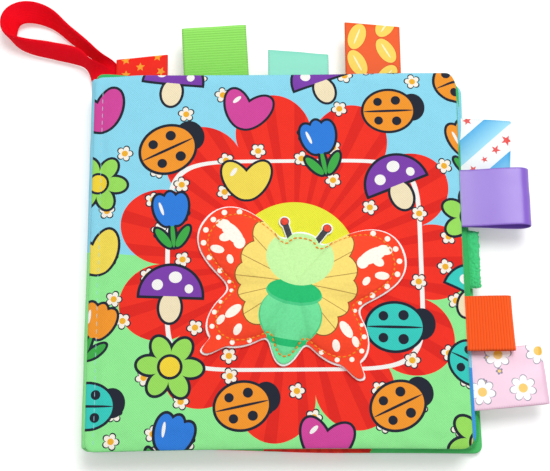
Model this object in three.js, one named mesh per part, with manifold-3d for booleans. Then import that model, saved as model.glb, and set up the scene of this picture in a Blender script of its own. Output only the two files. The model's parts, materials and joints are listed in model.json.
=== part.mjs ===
// A soft cloth picture book lying closed on its back cover, with the spine along Y on the -X side.
// Millimetres, +Z up. The origin is the middle of the back cover's flat underside.
import * as THREE from 'three';
import { mergeVertices } from 'three/addons/utils/BufferGeometryUtils.js';
import Module from 'manifold-3d';

const wasm = await Module();
wasm.setup();

// Padded panels
const BOOK_WIDTH = 160;
const BOOK_HEIGHT = 160;
const PANEL_THICK = 4.6;
const PANEL_GAP = 0.4;
const FORE_STEP = 1.8;
const EDGE_THICK = 2.6;
const CROWN_RUN = 14;
const DRAW_IN = 0.8;
const SPINE_CORNER = 3;
const FORE_CORNER = 5;
const CLOTH = 0.6;
const SEAM_GAP = 0.3;
const SEAM_RUN = 7;
const EDGE_ROLL = 1.2;
const STITCH_INSET = 3.5;
const STITCH_PINCH = 0.7;
const FIT = 0.3;

// Filling of a panel
const FOAM_INSET = 9;
const FOAM_THICK = 2.2;
const FILM_INSET = 13;
const FILM_THICK = 0.25;

// Cloth folds between the panels at the spine
const FOLD_CLOTH = 0.8;
const FOLD_BULGE = 0.9;

// Ribbon tags: each sits on one panel (0 is the back cover) and on its top edge or fore-edge,
// at a share of half that edge's length from the middle
const TAG_CLOTH = 0.45;
const TAG_ROOT = 5;
const TAG_LIP = 0.5;
const PLY_GAP = 0.15;
const TAGS = [
  {
    name: 'tag_red_stars', panel: 1, edge: 'top', at: -0.764,
    width: 22.5, reach: 12.9, loop: 1.6, turn: 0, colour: 0xc8202c,
  },
  {
    name: 'tag_green_ribbed', panel: 2, edge: 'top', at: -0.341,
    width: 28, reach: 25, loop: 1.8, turn: 3, colour: 0x5cb531,
  },
  {
    name: 'tag_mint_satin', panel: 3, edge: 'top', at: 0.123,
    width: 26, reach: 10.9, loop: 1.6, turn: 0, colour: 0x9fe0c0,
  },
  {
    name: 'tag_orange_printed', panel: 2, edge: 'top', at: 0.525,
    width: 24, reach: 25.5, loop: 1.8, turn: 0, colour: 0xf2711c,
  },
  {
    name: 'tag_blue_striped', panel: 1, edge: 'fore', at: 0.62,
    width: 25, reach: 21, loop: 1.6, turn: 0, colour: 0x5b9bd8,
  },
  {
    name: 'tag_purple_satin', panel: 2, edge: 'fore', at: 0.315,
    width: 25, reach: 28, loop: 7.8, turn: 0, colour: 0x7a5ab8,
  },
  {
    name: 'tag_orange_ribbed', panel: 3, edge: 'fore', at: -0.366,
    width: 22.5, reach: 18.9, loop: 1.6, turn: 0, colour: 0xf06a1e,
  },
  {
    name: 'tag_pink_printed', panel: 2, edge: 'fore', at: -0.65,
    width: 24.5, reach: 30, loop: 1.8, turn: 5, colour: 0xf3a3c4,
  },
];
const PLUSH = {
  name: 'tag_green_plush', panel: 1, edge: 'fore', at: 0,
  width: 25, reach: 4.7, thick: 2.8, turn: 0,
};

// Wrist strap, sewn on the back cover's corner at the spine. Its route is in shares of its
// length and spread, out along the far strand and back along the near one.
const STRAP_X = 6.5;
const STRAP_Y = 0.5;
const STRAP_ANGLE = 148;
const STRAP_WIDTH = 10;
const STRAP_CLOTH = 0.8;
const STRAP_LENGTH = 57;
const STRAP_SPREAD = 12;
const STRAP_ROUTE = [
  [0.01, -0.2], [0.1, -0.31], [0.25, -0.57], [0.53, -0.82], [0.75, -0.96], [0.93, -0.71], [1, -0.2],
  [0.93, 0.38], [0.8, 0.45], [0.56, 0.08], [0.36, -0.28], [0.23, -0.23], [0.1, -0.09], [0.01, 0.02],
];
const STRAP_FACING = 147;
const STRAP_DIP = 54;
const STRAP_LEAN = 30;
const STRAP_RISE = 0.9;
const STRAP_FLAT = 3;
const STRAP_ROLLED = 22;

// Butterfly on the front cover
const FLY_X = 4.4;
const FLY_Y = -14;
const FLY_TURN = -10;
const FLY_BODY = 17;
const FLY_LOBES = [
  { angle: 27, reach: 30, spread: 50 },
  { angle: 153, reach: 30, spread: 50 },
  { angle: -38, reach: 23, spread: 40 },
  { angle: -142, reach: 23, spread: 40 },
  { angle: 90, reach: 5, spread: 34 },
  { angle: -90, reach: 16, spread: 28 },
];
const FLY_AROUND = 60;
const PUFF_RINGS = [0, 0.2, 0.4, 0.6, 0.76];
const FELT = 1.1;
const FACE_CLOTH = 0.9;
const FLY_PUFF = 4.6;
const FLY_STITCH = 0.9;
const SQUEAKER_RADIUS = 10;
const SQUEAKER_HEIGHT = 3.4;
const SQUEAKER_WALL = 0.7;
const REED_RADIUS = 2;
const ANTENNA_LENGTH = 9.6;
const ANTENNA_WIDTH = 3.2;
const ANTENNA_SPLAY = 14;
const ANTENNA_LEAN = 28;
const KNOB_RADIUS = 2.4;

const PANELS = ['back_cover', 'leaf_2', 'leaf_1', 'front_cover'];
const CLOTH_NAMES = [
  ['back_cover_lining', 'back_cover_cloth'],
  ['leaf_2_upper_cloth', 'leaf_2_lower_cloth'],
  ['leaf_1_upper_cloth', 'leaf_1_lower_cloth'],
  ['front_cover_cloth', 'front_cover_lining'],
];
const CLOTH_COLOURS = [
  [0x8ecf4a, 0x7cc242],
  [0x57c46a, 0x8ecf4a],
  [0x5aaee0, 0xf2c53d],
  [0x8cc9ec, 0x6fbf45],
];
const DEGREE = Math.PI / 180;
const SPINE_X = -BOOK_WIDTH / 2;
const HALF_HEIGHT = BOOK_HEIGHT / 2;

const book = new THREE.Group();
book.name = 'cloth_book';

function addMesh(name, geometry, colour, roughness = 0.9) {
  const material = new THREE.MeshStandardMaterial({ color: colour, roughness, metalness: 0 });
  const mesh = new THREE.Mesh(geometry, material);
  mesh.name = name;
  book.add(mesh);
}

function solidOf(geometry) {
  const bare = geometry.clone();
  bare.deleteAttribute('normal');
  bare.deleteAttribute('uv');
  const merged = mergeVertices(bare, 1e-4);
  const triVerts = new Uint32Array(merged.index.array);
  const vertProperties = new Float32Array(merged.attributes.position.array);
  return new wasm.Manifold(new wasm.Mesh({ numProp: 3, vertProperties, triVerts }));
}

function geometryOf(solid) {
  const mesh = solid.getMesh();
  const geometry = new THREE.BufferGeometry();
  geometry.setAttribute('position', new THREE.BufferAttribute(mesh.vertProperties, 3));
  geometry.setIndex(new THREE.BufferAttribute(mesh.triVerts, 1));
  return geometry;
}

const panelZ = (k) => PANEL_THICK / 2 + k * (PANEL_THICK + PANEL_GAP);
const foreX = (k) => BOOK_WIDTH / 2 - k * FORE_STEP;

// Rounds a corner of the panel's rectangle by turning its corner square into a quarter disc.
function roundCorner(x, y, edgeX, radius) {
  const side = Math.sign(edgeX);
  const a = (side * x - (side * edgeX - radius)) / radius;
  const b = (Math.abs(y) - (HALF_HEIGHT - radius)) / radius;
  if (a <= 0 || b <= 0) return [x, y];
  const dx = radius * a * Math.sqrt(1 - (b * b) / 2);
  const dy = radius * b * Math.sqrt(1 - (a * a) / 2);
  return [edgeX - side * (radius - dx), Math.sign(y) * (HALF_HEIGHT - radius + dy)];
}

// Where a point of the panel's plain rectangle lies in the sewn panel, with its sides drawn in.
function sewnPlace(x, y, fore) {
  const radius = x > 0 ? FORE_CORNER : SPINE_CORNER;
  const [rx, ry] = roundCorner(x, y, x > 0 ? fore : SPINE_X, radius);
  const across = (rx - SPINE_X) / (fore - SPINE_X);
  const along = ry / HALF_HEIGHT;
  const pullX = DRAW_IN * across * across * (1 - along * along);
  const pullY = DRAW_IN * along * 4 * across * (1 - across);
  return [rx - pullX, ry - pullY];
}

// Half thickness of a panel: low at its sewn edge, crowned inside and pinched along the hinge stitches.
function halfThick(x, y, fore) {
  const inset = Math.min(x - SPINE_X, fore - x, HALF_HEIGHT - Math.abs(y));
  const lift = 1 - Math.min(inset / CROWN_RUN, 1);
  const crown = (PANEL_THICK - EDGE_THICK) / 2 * Math.sqrt(1 - lift * lift);
  const pinch = STITCH_PINCH * Math.max(0, 1 - Math.abs(x - SPINE_X - STITCH_INSET) / STITCH_INSET);
  return EDGE_THICK / 2 + crown - Math.min(pinch, crown);
}

// Inner face of a cloth: one cloth below its outer face, two where the seam is folded in.
function innerThick(x, y, fore) {
  const inset = Math.min(x - SPINE_X, fore - x, HALF_HEIGHT - Math.abs(y));
  const folded = Math.max(0, 1 - inset / SEAM_RUN);
  return Math.max(SEAM_GAP / 2, halfThick(x, y, fore) - CLOTH * (1 + folded));
}

function gridLines(low, high, middles) {
  const insets = [0, EDGE_ROLL, STITCH_INSET, SEAM_RUN, CROWN_RUN];
  const middle = (low + high) / 2;
  const near = insets.map((d) => low + d);
  const far = insets.map((d) => high - d).reverse();
  return [...near, ...middles.map((m) => middle + m * (high - low)), ...far];
}

// One cloth of a panel: side is 1 for the upper cloth and -1 for the lower one.
function panelCloth(k, side) {
  const fore = foreX(k);
  const xs = gridLines(SPINE_X, fore, [-0.15, 0.15]);
  const ys = gridLines(-HALF_HEIGHT, HALF_HEIGHT, [-0.2, 0, 0.2]);
  const nx = xs.length - 1;
  const ny = ys.length - 1;
  const geometry = new THREE.BoxGeometry(1, 1, 1, nx, ny, 1);
  const p = geometry.attributes.position;
  for (let i = 0; i < p.count; i++) {
    const x = xs[Math.round((p.getX(i) + 0.5) * nx)];
    const y = ys[Math.round((p.getY(i) + 0.5) * ny)];
    const outer = p.getZ(i) * side > 0;
    const height = outer ? halfThick(x, y, fore) : innerThick(x, y, fore);
    const [px, py] = sewnPlace(x, y, fore);
    p.setXYZ(i, px, py, panelZ(k) + side * height);
  }
  return geometry;
}

function roundedSlab(x0, x1, y0, y1, radius, z, thick) {
  const shape = new THREE.Shape();
  shape.moveTo(x0 + radius, y0);
  shape.absarc(x1 - radius, y0 + radius, radius, -Math.PI / 2, 0);
  shape.absarc(x1 - radius, y1 - radius, radius, 0, Math.PI / 2);
  shape.absarc(x0 + radius, y1 - radius, radius, Math.PI / 2, Math.PI);
  shape.absarc(x0 + radius, y0 + radius, radius, Math.PI, Math.PI * 1.5);
  const options = { depth: thick, bevelEnabled: false, curveSegments: 4 };
  const geometry = new THREE.ExtrudeGeometry(shape, options);
  return geometry.translate(0, 0, z);
}

function sheetInPanel(k, inset, z, thick) {
  const h = HALF_HEIGHT - inset;
  return roundedSlab(SPINE_X + inset, foreX(k) - inset, -h, h, FORE_CORNER, panelZ(k) + z, thick);
}

// A flat tape bent along a curve, with its width lying along acrossAt.
function tape(curve, acrossAt, width, thick, steps) {
  const geometry = new THREE.BoxGeometry(1, 1, 1, 1, 1, steps);
  const p = geometry.attributes.position;
  const spot = new THREE.Vector3();
  for (let i = 0; i < p.count; i++) {
    const t = p.getZ(i) + 0.5;
    const tangent = curve.getTangentAt(t);
    const across = acrossAt(t, tangent);
    const normal = new THREE.Vector3().crossVectors(tangent, across).normalize();
    spot.copy(curve.getPointAt(t));
    spot.addScaledVector(across, width * p.getX(i));
    spot.addScaledVector(normal, thick * p.getY(i));
    p.setXYZ(i, spot.x, spot.y, spot.z);
  }
  return geometry;
}

// Moves a tag from its own frame (X outward, Z up, origin on the seam) to its panel's edge.
function seatOnEdge(geometry, tag) {
  const fore = foreX(tag.panel);
  const middle = (SPINE_X + fore) / 2;
  const onTop = tag.edge === 'top';
  const x = onTop ? middle + tag.at * (fore - middle) : fore;
  const y = onTop ? HALF_HEIGHT : tag.at * HALF_HEIGHT;
  const [px, py] = sewnPlace(x, y, fore);
  geometry.rotateZ(((onTop ? 90 : 0) + tag.turn) * DEGREE);
  return geometry.translate(px, py, panelZ(tag.panel));
}

// The side view of a folded ribbon: two plies in the seam that part into a loop.
function ribbonCurve(tag) {
  const ply = (TAG_CLOTH + PLY_GAP) / 2;
  const half = Math.max((tag.loop - TAG_CLOTH) / 2, ply);
  const points = [];
  for (const side of [1, -1]) {
    const root = [-TAG_ROOT, -TAG_ROOT / 2, TAG_LIP];
    const run = root.map((x) => new THREE.Vector3(x, 0, side * ply));
    for (const share of [0.25, 0.5, 0.75]) {
      const opened = ply + (half - ply) * Math.sin((share * Math.PI) / 1.5);
      run.push(new THREE.Vector3((tag.reach - half) * share, 0, side * opened));
    }
    for (const angle of [1.2, 0.6]) {
      const x = tag.reach - half + half * Math.cos(angle) - TAG_CLOTH / 2;
      run.push(new THREE.Vector3(x, 0, side * half * Math.sin(angle)));
    }
    points.push(...(side > 0 ? run : run.reverse()));
  }
  points.splice(points.length / 2, 0, new THREE.Vector3(tag.reach - TAG_CLOTH / 2, 0, 0));
  return new THREE.CatmullRomCurve3(points, false, 'centripetal');
}

function ribbonTag(tag) {
  const across = new THREE.Vector3(0, 1, 0);
  return tape(ribbonCurve(tag), () => across, tag.width, TAG_CLOTH, 24);
}

// The plush tab: a thin sewn root with a thick rounded end.
function plushTab(tag) {
  const root = TAG_CLOTH + PLY_GAP / 2;
  const thick = tag.thick / 2;
  const shape = new THREE.Shape();
  shape.moveTo(-TAG_ROOT, -root);
  shape.lineTo(FIT, -root);
  shape.lineTo(FIT, -thick);
  shape.lineTo(tag.reach - thick, -thick);
  shape.absarc(tag.reach - thick, 0, thick, -Math.PI / 2, Math.PI / 2);
  shape.lineTo(FIT, thick);
  shape.lineTo(FIT, root);
  shape.lineTo(-TAG_ROOT, root);
  const options = { depth: tag.width, bevelEnabled: false, curveSegments: 6 };
  const geometry = new THREE.ExtrudeGeometry(shape, options);
  return geometry.translate(0, 0, -tag.width / 2).rotateX(Math.PI / 2);
}

// The mouth that a tag's root needs in the seam of its panel.
function seamMouth(tag) {
  const high = 2 * TAG_CLOTH + PLY_GAP + 2 * FIT;
  const geometry = new THREE.BoxGeometry(2 * TAG_ROOT, tag.width + 2 * FIT, high);
  return seatOnEdge(geometry.translate(-FIT, 0, 0), tag);
}

// The strap's loop: its plies lie on each other at the sewn root and part further out.
function strapCurve() {
  const ply = (STRAP_CLOTH + PLY_GAP) / 2;
  const last = STRAP_ROUTE.length - 1;
  const points = STRAP_ROUTE.map(([along, across], i) => {
    const u = along * STRAP_LENGTH;
    const rise = STRAP_RISE * THREE.MathUtils.smoothstep(u, 0, STRAP_ROLLED);
    const lift = rise - ply * Math.cos((Math.PI * i) / last);
    return new THREE.Vector3(u, across * STRAP_SPREAD, lift);
  });
  return new THREE.CatmullRomCurve3(points, false, 'centripetal');
}

// The tape lies flat at its root, rolls onto its lower edge, and leans outward around the far end.
function strapAcross(curve) {
  const facing = STRAP_FACING * DEGREE;
  const dip = STRAP_DIP * DEGREE;
  const out = Math.cos(dip);
  const rolled = new THREE.Vector3(Math.cos(facing) * out, Math.sin(facing) * out, -Math.sin(dip));
  return (t, tangent) => {
    const turned = THREE.MathUtils.smoothstep(curve.getPointAt(t).x, STRAP_FLAT, STRAP_ROLLED);
    const across = new THREE.Vector3(0, 1, 0).lerp(rolled, turned);
    across.addScaledVector(tangent, -across.dot(tangent)).normalize();
    const inside = new THREE.Vector3().crossVectors(tangent, across);
    const lean = STRAP_LEAN * DEGREE * Math.sin(Math.PI * t) ** 6;
    return across.multiplyScalar(Math.cos(lean)).addScaledVector(inside, Math.sin(lean));
  };
}

function wristStrap() {
  const curve = strapCurve();
  const geometry = tape(curve, strapAcross(curve), STRAP_WIDTH, STRAP_CLOTH, 44);
  const seat = (panelZ(0) + panelZ(1)) / 2;
  geometry.rotateZ(STRAP_ANGLE * DEGREE);
  return geometry.translate(SPINE_X + STRAP_X, HALF_HEIGHT + STRAP_Y, seat);
}

function addPanel(k) {
  const mouths = [...TAGS, PLUSH].filter((tag) => tag.panel === k).map(seamMouth);
  for (const [which, side] of [1, -1].entries()) {
    let solid = solidOf(panelCloth(k, side));
    for (const mouth of mouths) solid = solid.subtract(solidOf(mouth));
    addMesh(CLOTH_NAMES[k][which], geometryOf(solid), CLOTH_COLOURS[k][which]);
  }
  const room = PANEL_THICK / 2 - CLOTH;
  const filmZ = room - FIT - FILM_THICK;
  const foam = sheetInPanel(k, FOAM_INSET, filmZ - FIT - FOAM_THICK, FOAM_THICK);
  const film = sheetInPanel(k, FILM_INSET, filmZ, FILM_THICK);
  addMesh(`${PANELS[k]}_foam`, foam, 0xf4f1e6);
  addMesh(`${PANELS[k]}_crinkle_film`, film, 0xe4e8ea, 0.3);
}

// The fold of cloth that joins panel k to the panel above it along the spine.
function spineFold(k) {
  const low = panelZ(k) + SEAM_GAP / 2;
  const high = panelZ(k + 1) - SEAM_GAP / 2;
  const middle = (low + high) / 2;
  const inner = SPINE_X - FIT;
  const outer = inner - FOLD_CLOTH;
  const shape = new THREE.Shape();
  shape.moveTo(inner, low);
  shape.quadraticCurveTo(inner - FOLD_BULGE, middle, inner, high);
  shape.lineTo(outer, high);
  shape.quadraticCurveTo(outer - FOLD_BULGE, middle, outer, low);
  const depth = BOOK_HEIGHT - 2 * SPINE_CORNER;
  const geometry = new THREE.ExtrudeGeometry(shape, { depth, bevelEnabled: false, curveSegments: 6 });
  return geometry.rotateX(Math.PI / 2).translate(0, depth / 2, 0);
}

// Outline of the butterfly as a distance from its middle: a round body with wing, head and tail lobes.
function flyOutline(angle) {
  let reach = FLY_BODY;
  for (const lobe of FLY_LOBES) {
    const away = Math.atan2(Math.sin(angle - lobe.angle * DEGREE), Math.cos(angle - lobe.angle * DEGREE));
    const share = Math.abs(away) / (lobe.spread * DEGREE);
    if (share < 1) reach += (lobe.reach * (1 + Math.cos(Math.PI * share))) / 2;
  }
  return reach;
}

// A piece with the butterfly's outline, built from rings that shrink toward its middle.
function flyPiece(rings, around, top, bottom) {
  const rows = rings.length;
  const geometry = new THREE.SphereGeometry(1, around, 2 * rows - 1);
  const p = geometry.attributes.position;
  for (let i = 0; i < p.count; i++) {
    const row = Math.floor(i / (around + 1));
    const share = rings[row < rows ? row : 2 * rows - 1 - row];
    const angle = Math.atan2(-p.getZ(i), p.getX(i));
    const reach = share * flyOutline(angle);
    const height = row < rows ? top(share) : bottom(share);
    p.setXYZ(i, reach * Math.cos(angle), reach * Math.sin(angle), height);
  }
  return geometry;
}

function placeFly(geometry) {
  const onCover = panelZ(3) + PANEL_THICK / 2 + FIT;
  return geometry.rotateZ(FLY_TURN * DEGREE).translate(FLY_X, FLY_Y, onCover);
}

const puff = (share) => FLY_PUFF * Math.sqrt(Math.max(0, 1 - (share / FLY_STITCH) ** 2));

function antenna(side) {
  const half = ANTENNA_WIDTH / 2;
  const neck = Math.asin(half / KNOB_RADIUS);
  const shape = new THREE.Shape();
  shape.moveTo(-half, 0);
  shape.lineTo(half, 0);
  const down = Math.PI / 2;
  shape.absarc(0, ANTENNA_LENGTH, KNOB_RADIUS, neck - down, 3 * down - neck);
  const options = { depth: FELT, bevelEnabled: false, curveSegments: 10 };
  const geometry = new THREE.ExtrudeGeometry(shape, options);
  const angle = Math.PI / 2 - side * ANTENNA_SPLAY * DEGREE;
  const root = flyOutline(angle) - ANTENNA_WIDTH / 2;
  geometry.rotateZ(-side * ANTENNA_LEAN * DEGREE);
  geometry.translate(root * Math.cos(angle), root * Math.sin(angle), 0);
  const grown = 1 + FIT / FLY_BODY;
  const body = flyPiece([0, grown], FLY_AROUND, () => 2 * FELT, () => -FELT);
  return placeFly(geometryOf(solidOf(geometry).subtract(solidOf(body))));
}

function squeaker(bottom) {
  const r = SQUEAKER_RADIUS;
  const w = SQUEAKER_WALL;
  const h = SQUEAKER_HEIGHT;
  const hole = REED_RADIUS + FIT;
  const outside = [[hole, 0], [r, 0], [r, h], [hole, h]];
  const inside = [[hole, h - w], [r - w, h - w], [r - w, w], [hole, w]];
  const shell = [...outside, ...inside, [hole, 0]];
  const profile = shell.map(([x, y]) => new THREE.Vector2(x, y));
  const geometry = new THREE.LatheGeometry(profile, 32).rotateX(Math.PI / 2);
  return placeFly(geometry.translate(0, 0, bottom));
}

function reed(bottom) {
  const bore = REED_RADIUS / 2;
  const top = SQUEAKER_HEIGHT;
  const tube = [[bore, 0], [REED_RADIUS, 0], [REED_RADIUS, top], [bore, top], [bore, 0]];
  const profile = tube.map(([x, y]) => new THREE.Vector2(x, y));
  const geometry = new THREE.LatheGeometry(profile, 20).rotateX(Math.PI / 2);
  return placeFly(geometry.translate(0, 0, bottom));
}

function stuffing(bottom) {
  const lift = (share) => bottom + puff(share) - FIT;
  const pad = solidOf(flyPiece(PUFF_RINGS, FLY_AROUND, lift, () => bottom));
  const pocket = new THREE.CylinderGeometry(SQUEAKER_RADIUS + FIT, SQUEAKER_RADIUS + FIT, 4 * FLY_PUFF, 32);
  return placeFly(geometryOf(pad.subtract(solidOf(pocket.rotateX(Math.PI / 2)))));
}

function addButterfly() {
  const seat = FELT + FIT;
  const face = seat + FACE_CLOTH;
  const flat = [0, 1];
  const felt = flyPiece(flat, FLY_AROUND, () => FELT, () => 0);
  addMesh('butterfly_backing_felt', placeFly(felt), 0xf6f4ee, 0.95);
  addMesh('butterfly_stuffing', stuffing(seat), 0xfafafa, 0.95);
  addMesh('squeaker_bellows', squeaker(seat), 0xf2f2ee, 0.5);
  addMesh('squeaker_reed', reed(seat), 0xd8d8d4, 0.5);
  const rings = [...PUFF_RINGS, FLY_STITCH, 1];
  const upper = (share) => face + puff(share);
  const lower = (share) => seat + puff(share);
  const shell = flyPiece(rings, FLY_AROUND, upper, lower);
  addMesh('butterfly_face', placeFly(shell), 0xf0522a, 0.95);
  addMesh('antenna_left', antenna(-1), 0x333333);
  addMesh('antenna_right', antenna(1), 0x333333);
}

for (let k = 0; k < PANELS.length; k++) addPanel(k);
for (let k = 0; k < PANELS.length - 1; k++) {
  addMesh(`spine_fold_${k + 1}`, spineFold(k), 0x7cc242);
}
for (const tag of TAGS) addMesh(tag.name, seatOnEdge(ribbonTag(tag), tag), tag.colour, 0.6);
addMesh(PLUSH.name, seatOnEdge(plushTab(PLUSH), PLUSH), 0x6fbf45);
addMesh('wrist_strap', wristStrap(), 0xcf2430);
addButterfly();

export default book;
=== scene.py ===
import json
from math import asin, atan2, copysign, cos, pi, radians, sin, sqrt, tau

import bpy
from mathutils import Matrix, Vector, noise
from mathutils.geometry import interpolate_bezier

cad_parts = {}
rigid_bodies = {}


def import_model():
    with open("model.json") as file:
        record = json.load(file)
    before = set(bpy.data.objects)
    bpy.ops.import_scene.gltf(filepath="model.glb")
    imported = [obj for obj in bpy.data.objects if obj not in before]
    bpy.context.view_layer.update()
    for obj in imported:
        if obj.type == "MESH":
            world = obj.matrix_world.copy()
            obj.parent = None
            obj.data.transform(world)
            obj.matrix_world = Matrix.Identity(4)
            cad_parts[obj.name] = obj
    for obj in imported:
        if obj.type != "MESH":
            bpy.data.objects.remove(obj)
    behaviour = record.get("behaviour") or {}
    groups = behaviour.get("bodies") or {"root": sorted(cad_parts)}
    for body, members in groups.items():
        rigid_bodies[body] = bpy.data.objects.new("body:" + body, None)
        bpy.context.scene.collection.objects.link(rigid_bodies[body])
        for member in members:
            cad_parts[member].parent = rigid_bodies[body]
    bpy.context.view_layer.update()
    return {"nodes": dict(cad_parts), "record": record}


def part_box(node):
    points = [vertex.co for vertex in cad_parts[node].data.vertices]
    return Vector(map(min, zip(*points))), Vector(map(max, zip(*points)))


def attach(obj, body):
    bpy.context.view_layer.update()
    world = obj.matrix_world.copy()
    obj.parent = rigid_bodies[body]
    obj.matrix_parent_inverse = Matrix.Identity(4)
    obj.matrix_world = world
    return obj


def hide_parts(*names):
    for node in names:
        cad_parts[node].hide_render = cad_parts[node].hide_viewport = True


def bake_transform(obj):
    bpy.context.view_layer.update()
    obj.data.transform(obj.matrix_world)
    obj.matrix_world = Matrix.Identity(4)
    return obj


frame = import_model()
mm = 0.001
onEdge = 0.99  # a grid from -1 to 1 has only its outer rows past this
curveSteps = 30  # points in each stretch of a smooth line


# small tools

# a colour code as linear light
def rgb(code):
    parts = [int(code[i:i + 2], 16) / 255 for i in (0, 2, 4)]
    linear = [c / 12.92 if c <= 0.04045 else ((c + 0.055) / 1.055) ** 2.4 for c in parts]
    return (*linear, 1)


# a soft step from 0 at low to 1 at high
def smooth(low, high, value):
    share = min(max((value - low) / (high - low), 0), 1)
    return share * share * (3 - 2 * share)


def atAngle(angle, reach, z=0):
    return Vector((reach * cos(angle), reach * sin(angle), z))


def turnZ(angle):
    return Matrix.Rotation(angle, 4, "Z")


def deselect():
    bpy.ops.object.select_all(action="DESELECT")


def pick(piece):
    deselect()
    piece.select_set(True)
    bpy.context.view_layer.objects.active = piece


def named(name):
    piece = bpy.context.object
    piece.name = piece.data.name = name
    return piece


def newGrid(name, across, along):
    deselect()
    bpy.ops.mesh.primitive_grid_add(x_subdivisions=across, y_subdivisions=along, size=2)
    return named(name)


def editAll(piece):
    pick(piece)
    bpy.ops.object.mode_set(mode="EDIT")
    bpy.ops.mesh.select_mode(type="EDGE")
    bpy.ops.mesh.select_all(action="SELECT")


def leaveEdit():
    bpy.ops.mesh.select_all(action="SELECT")
    bpy.ops.mesh.normals_make_consistent(inside=False)
    bpy.ops.object.mode_set(mode="OBJECT")


def pickOpenEdges():
    bpy.ops.mesh.select_all(action="DESELECT")
    bpy.ops.mesh.select_non_manifold(use_wire=False, use_multi_face=False,
                                     use_non_contiguous=False, use_verts=False)


def addModifier(piece, kind, **settings):
    modifier = piece.modifiers.new(kind.title(), kind)
    for key, value in settings.items():
        setattr(modifier, key, value)
    pick(piece)
    bpy.ops.object.modifier_apply(modifier=modifier.name)


def shadeSmooth(piece):
    pick(piece)
    bpy.ops.object.shade_smooth()


def refine(piece):
    addModifier(piece, "SUBSURF", levels=1, render_levels=1)
    shadeSmooth(piece)


# a flat layer becomes a closed pad: z runs from -1 to 1, with three rows in the side wall
def closeToPad(piece):
    editAll(piece)
    bpy.ops.transform.translate(value=(0, 0, -1))
    bpy.ops.mesh.duplicate()
    bpy.ops.transform.translate(value=(0, 0, 2))
    pickOpenEdges()
    bpy.ops.mesh.bridge_edge_loops(number_cuts=3)
    leaveEdit()


# a smooth line through points, with handles a third of each stretch long
def curveThrough(points):
    ends = [points[0], *points, points[-1]]
    runs = [(after - before).normalized() for before, after in zip(ends, ends[2:])]
    line = []
    for a, b, leave, arrive in zip(points, points[1:], runs, runs[1:]):
        third = (b - a).length / 3
        line += interpolate_bezier(a, a + leave * third, b - arrive * third, b, curveSteps)[:-1]
    return [*line, points[-1]]


# points at equal steps along a line, and its length
def evenSteps(line, steps):
    lengths = [0]
    for a, b in zip(line, line[1:]):
        lengths.append(lengths[-1] + (b - a).length)
    spots, k = [], 0
    for step in range(steps + 1):
        goal = lengths[-1] * step / steps
        while k < len(line) - 2 and lengths[k + 1] < goal:
            k += 1
        share = (goal - lengths[k]) / (lengths[k + 1] - lengths[k])
        spots.append(line[k].lerp(line[k + 1], share))
    return spots, lengths[-1]


def dress(piece, slot, *materials):
    piece.data.materials.clear()
    for material in materials:
        piece.data.materials.append(material)


# a row of thread stitches: one is modelled and the others are copied from it
def makeStitches(name, places, slot, thread, body):
    deselect()
    bpy.ops.mesh.primitive_uv_sphere_add(segments=8, ring_count=6, radius=1)
    piece = named(name)
    copies = []
    for place in places[1:]:
        copy = piece.copy()
        copy.data = piece.data.copy()
        copy.data.transform(place)
        bpy.context.collection.objects.link(copy)
        copies.append(copy)
    piece.data.transform(places[0])
    pick(piece)
    for copy in copies:
        copy.select_set(True)
    bpy.ops.object.join()
    shadeSmooth(piece)
    dress(piece, slot, thread)
    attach(piece, body)


# node tools: a socket knows its tree, so a new node goes where its inputs come from

def isSocket(value):
    return isinstance(value, bpy.types.NodeSocket)


def treeOf(values):
    return next(value.id_data for value in values if isSocket(value))


def join(output, target):
    output.id_data.links.new(output, target)


def feed(socket, value):
    if isSocket(value):
        join(value, socket)
    elif value is not None:
        socket.default_value = value


def put(kind, *values, out=0, **settings):
    node = treeOf(values).nodes.new("ShaderNode" + kind)
    for key, value in settings.items():
        setattr(node, key, value)
    for socket, value in zip(node.inputs, values):
        feed(socket, value)
    return node.outputs[out]


def calc(operation, *values):
    return put("Math", *values, operation=operation)


def times(a, b):
    return calc("MULTIPLY", a, b)


def timesPlus(a, b, c):
    return calc("MULTIPLY_ADD", a, b, c)


def lessThan(a, b):
    return calc("LESS_THAN", a, b)


def moreThan(a, b):
    return calc("GREATER_THAN", a, b)


def sine(value, rate):
    return calc("SINE", times(value, rate))


def vec(operation, *values):
    out = 1 if operation in ("LENGTH", "DISTANCE") else 0
    return put("VectorMath", *values, operation=operation, out=out)


def scaleBy(vector, factor):
    return vec("SCALE", vector, None, None, factor)


def flatten(vector):
    return vec("MULTIPLY", vector, (1, 1, 0))


def turnFlat(vector, angle):
    return put("VectorRotate", vector, None, (0, 0, 1), angle, rotation_type="AXIS_ANGLE")


def split(vector):
    return put("SeparateXYZ", vector).node.outputs


def clouds(place, scale, detail=3, rough=0.6):
    return put("TexNoise", place, None, scale, detail, rough)


def over(mask, under, colour, blend="MIX"):
    return put("Mix", mask, *[None] * 5, under, colour, out=2, data_type="RGBA", blend_type=blend)


def shaded(colour, shade):
    return over(1, colour, put("CombineXYZ", shade, shade, shade), "MULTIPLY")


# one ellipse of colour, with an optional straight cut below
def spot(place, under, colour, centre, size, turn=0, cut=None):
    local = put("Mapping", place, (*centre, 0), (0, 0, radians(turn)), (*size, 1), vector_type="TEXTURE")
    mask = lessThan(vec("LENGTH", local), 1)
    if cut is not None:
        mask = times(mask, moreThan(split(local)[1], cut))
    return over(mask, under, colour)


def newGroup(name, inputs, outputs):
    tree = bpy.data.node_groups.new(name, "ShaderNodeTree")
    for way, sockets in [("INPUT", inputs), ("OUTPUT", outputs)]:
        for label, kind in sockets.items():
            tree.interface.new_socket(label, in_out=way, socket_type="NodeSocket" + kind)
    given = tree.nodes.new("NodeGroupInput").outputs
    made = tree.nodes.new("NodeGroupOutput").inputs
    return tree, given, made


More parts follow.
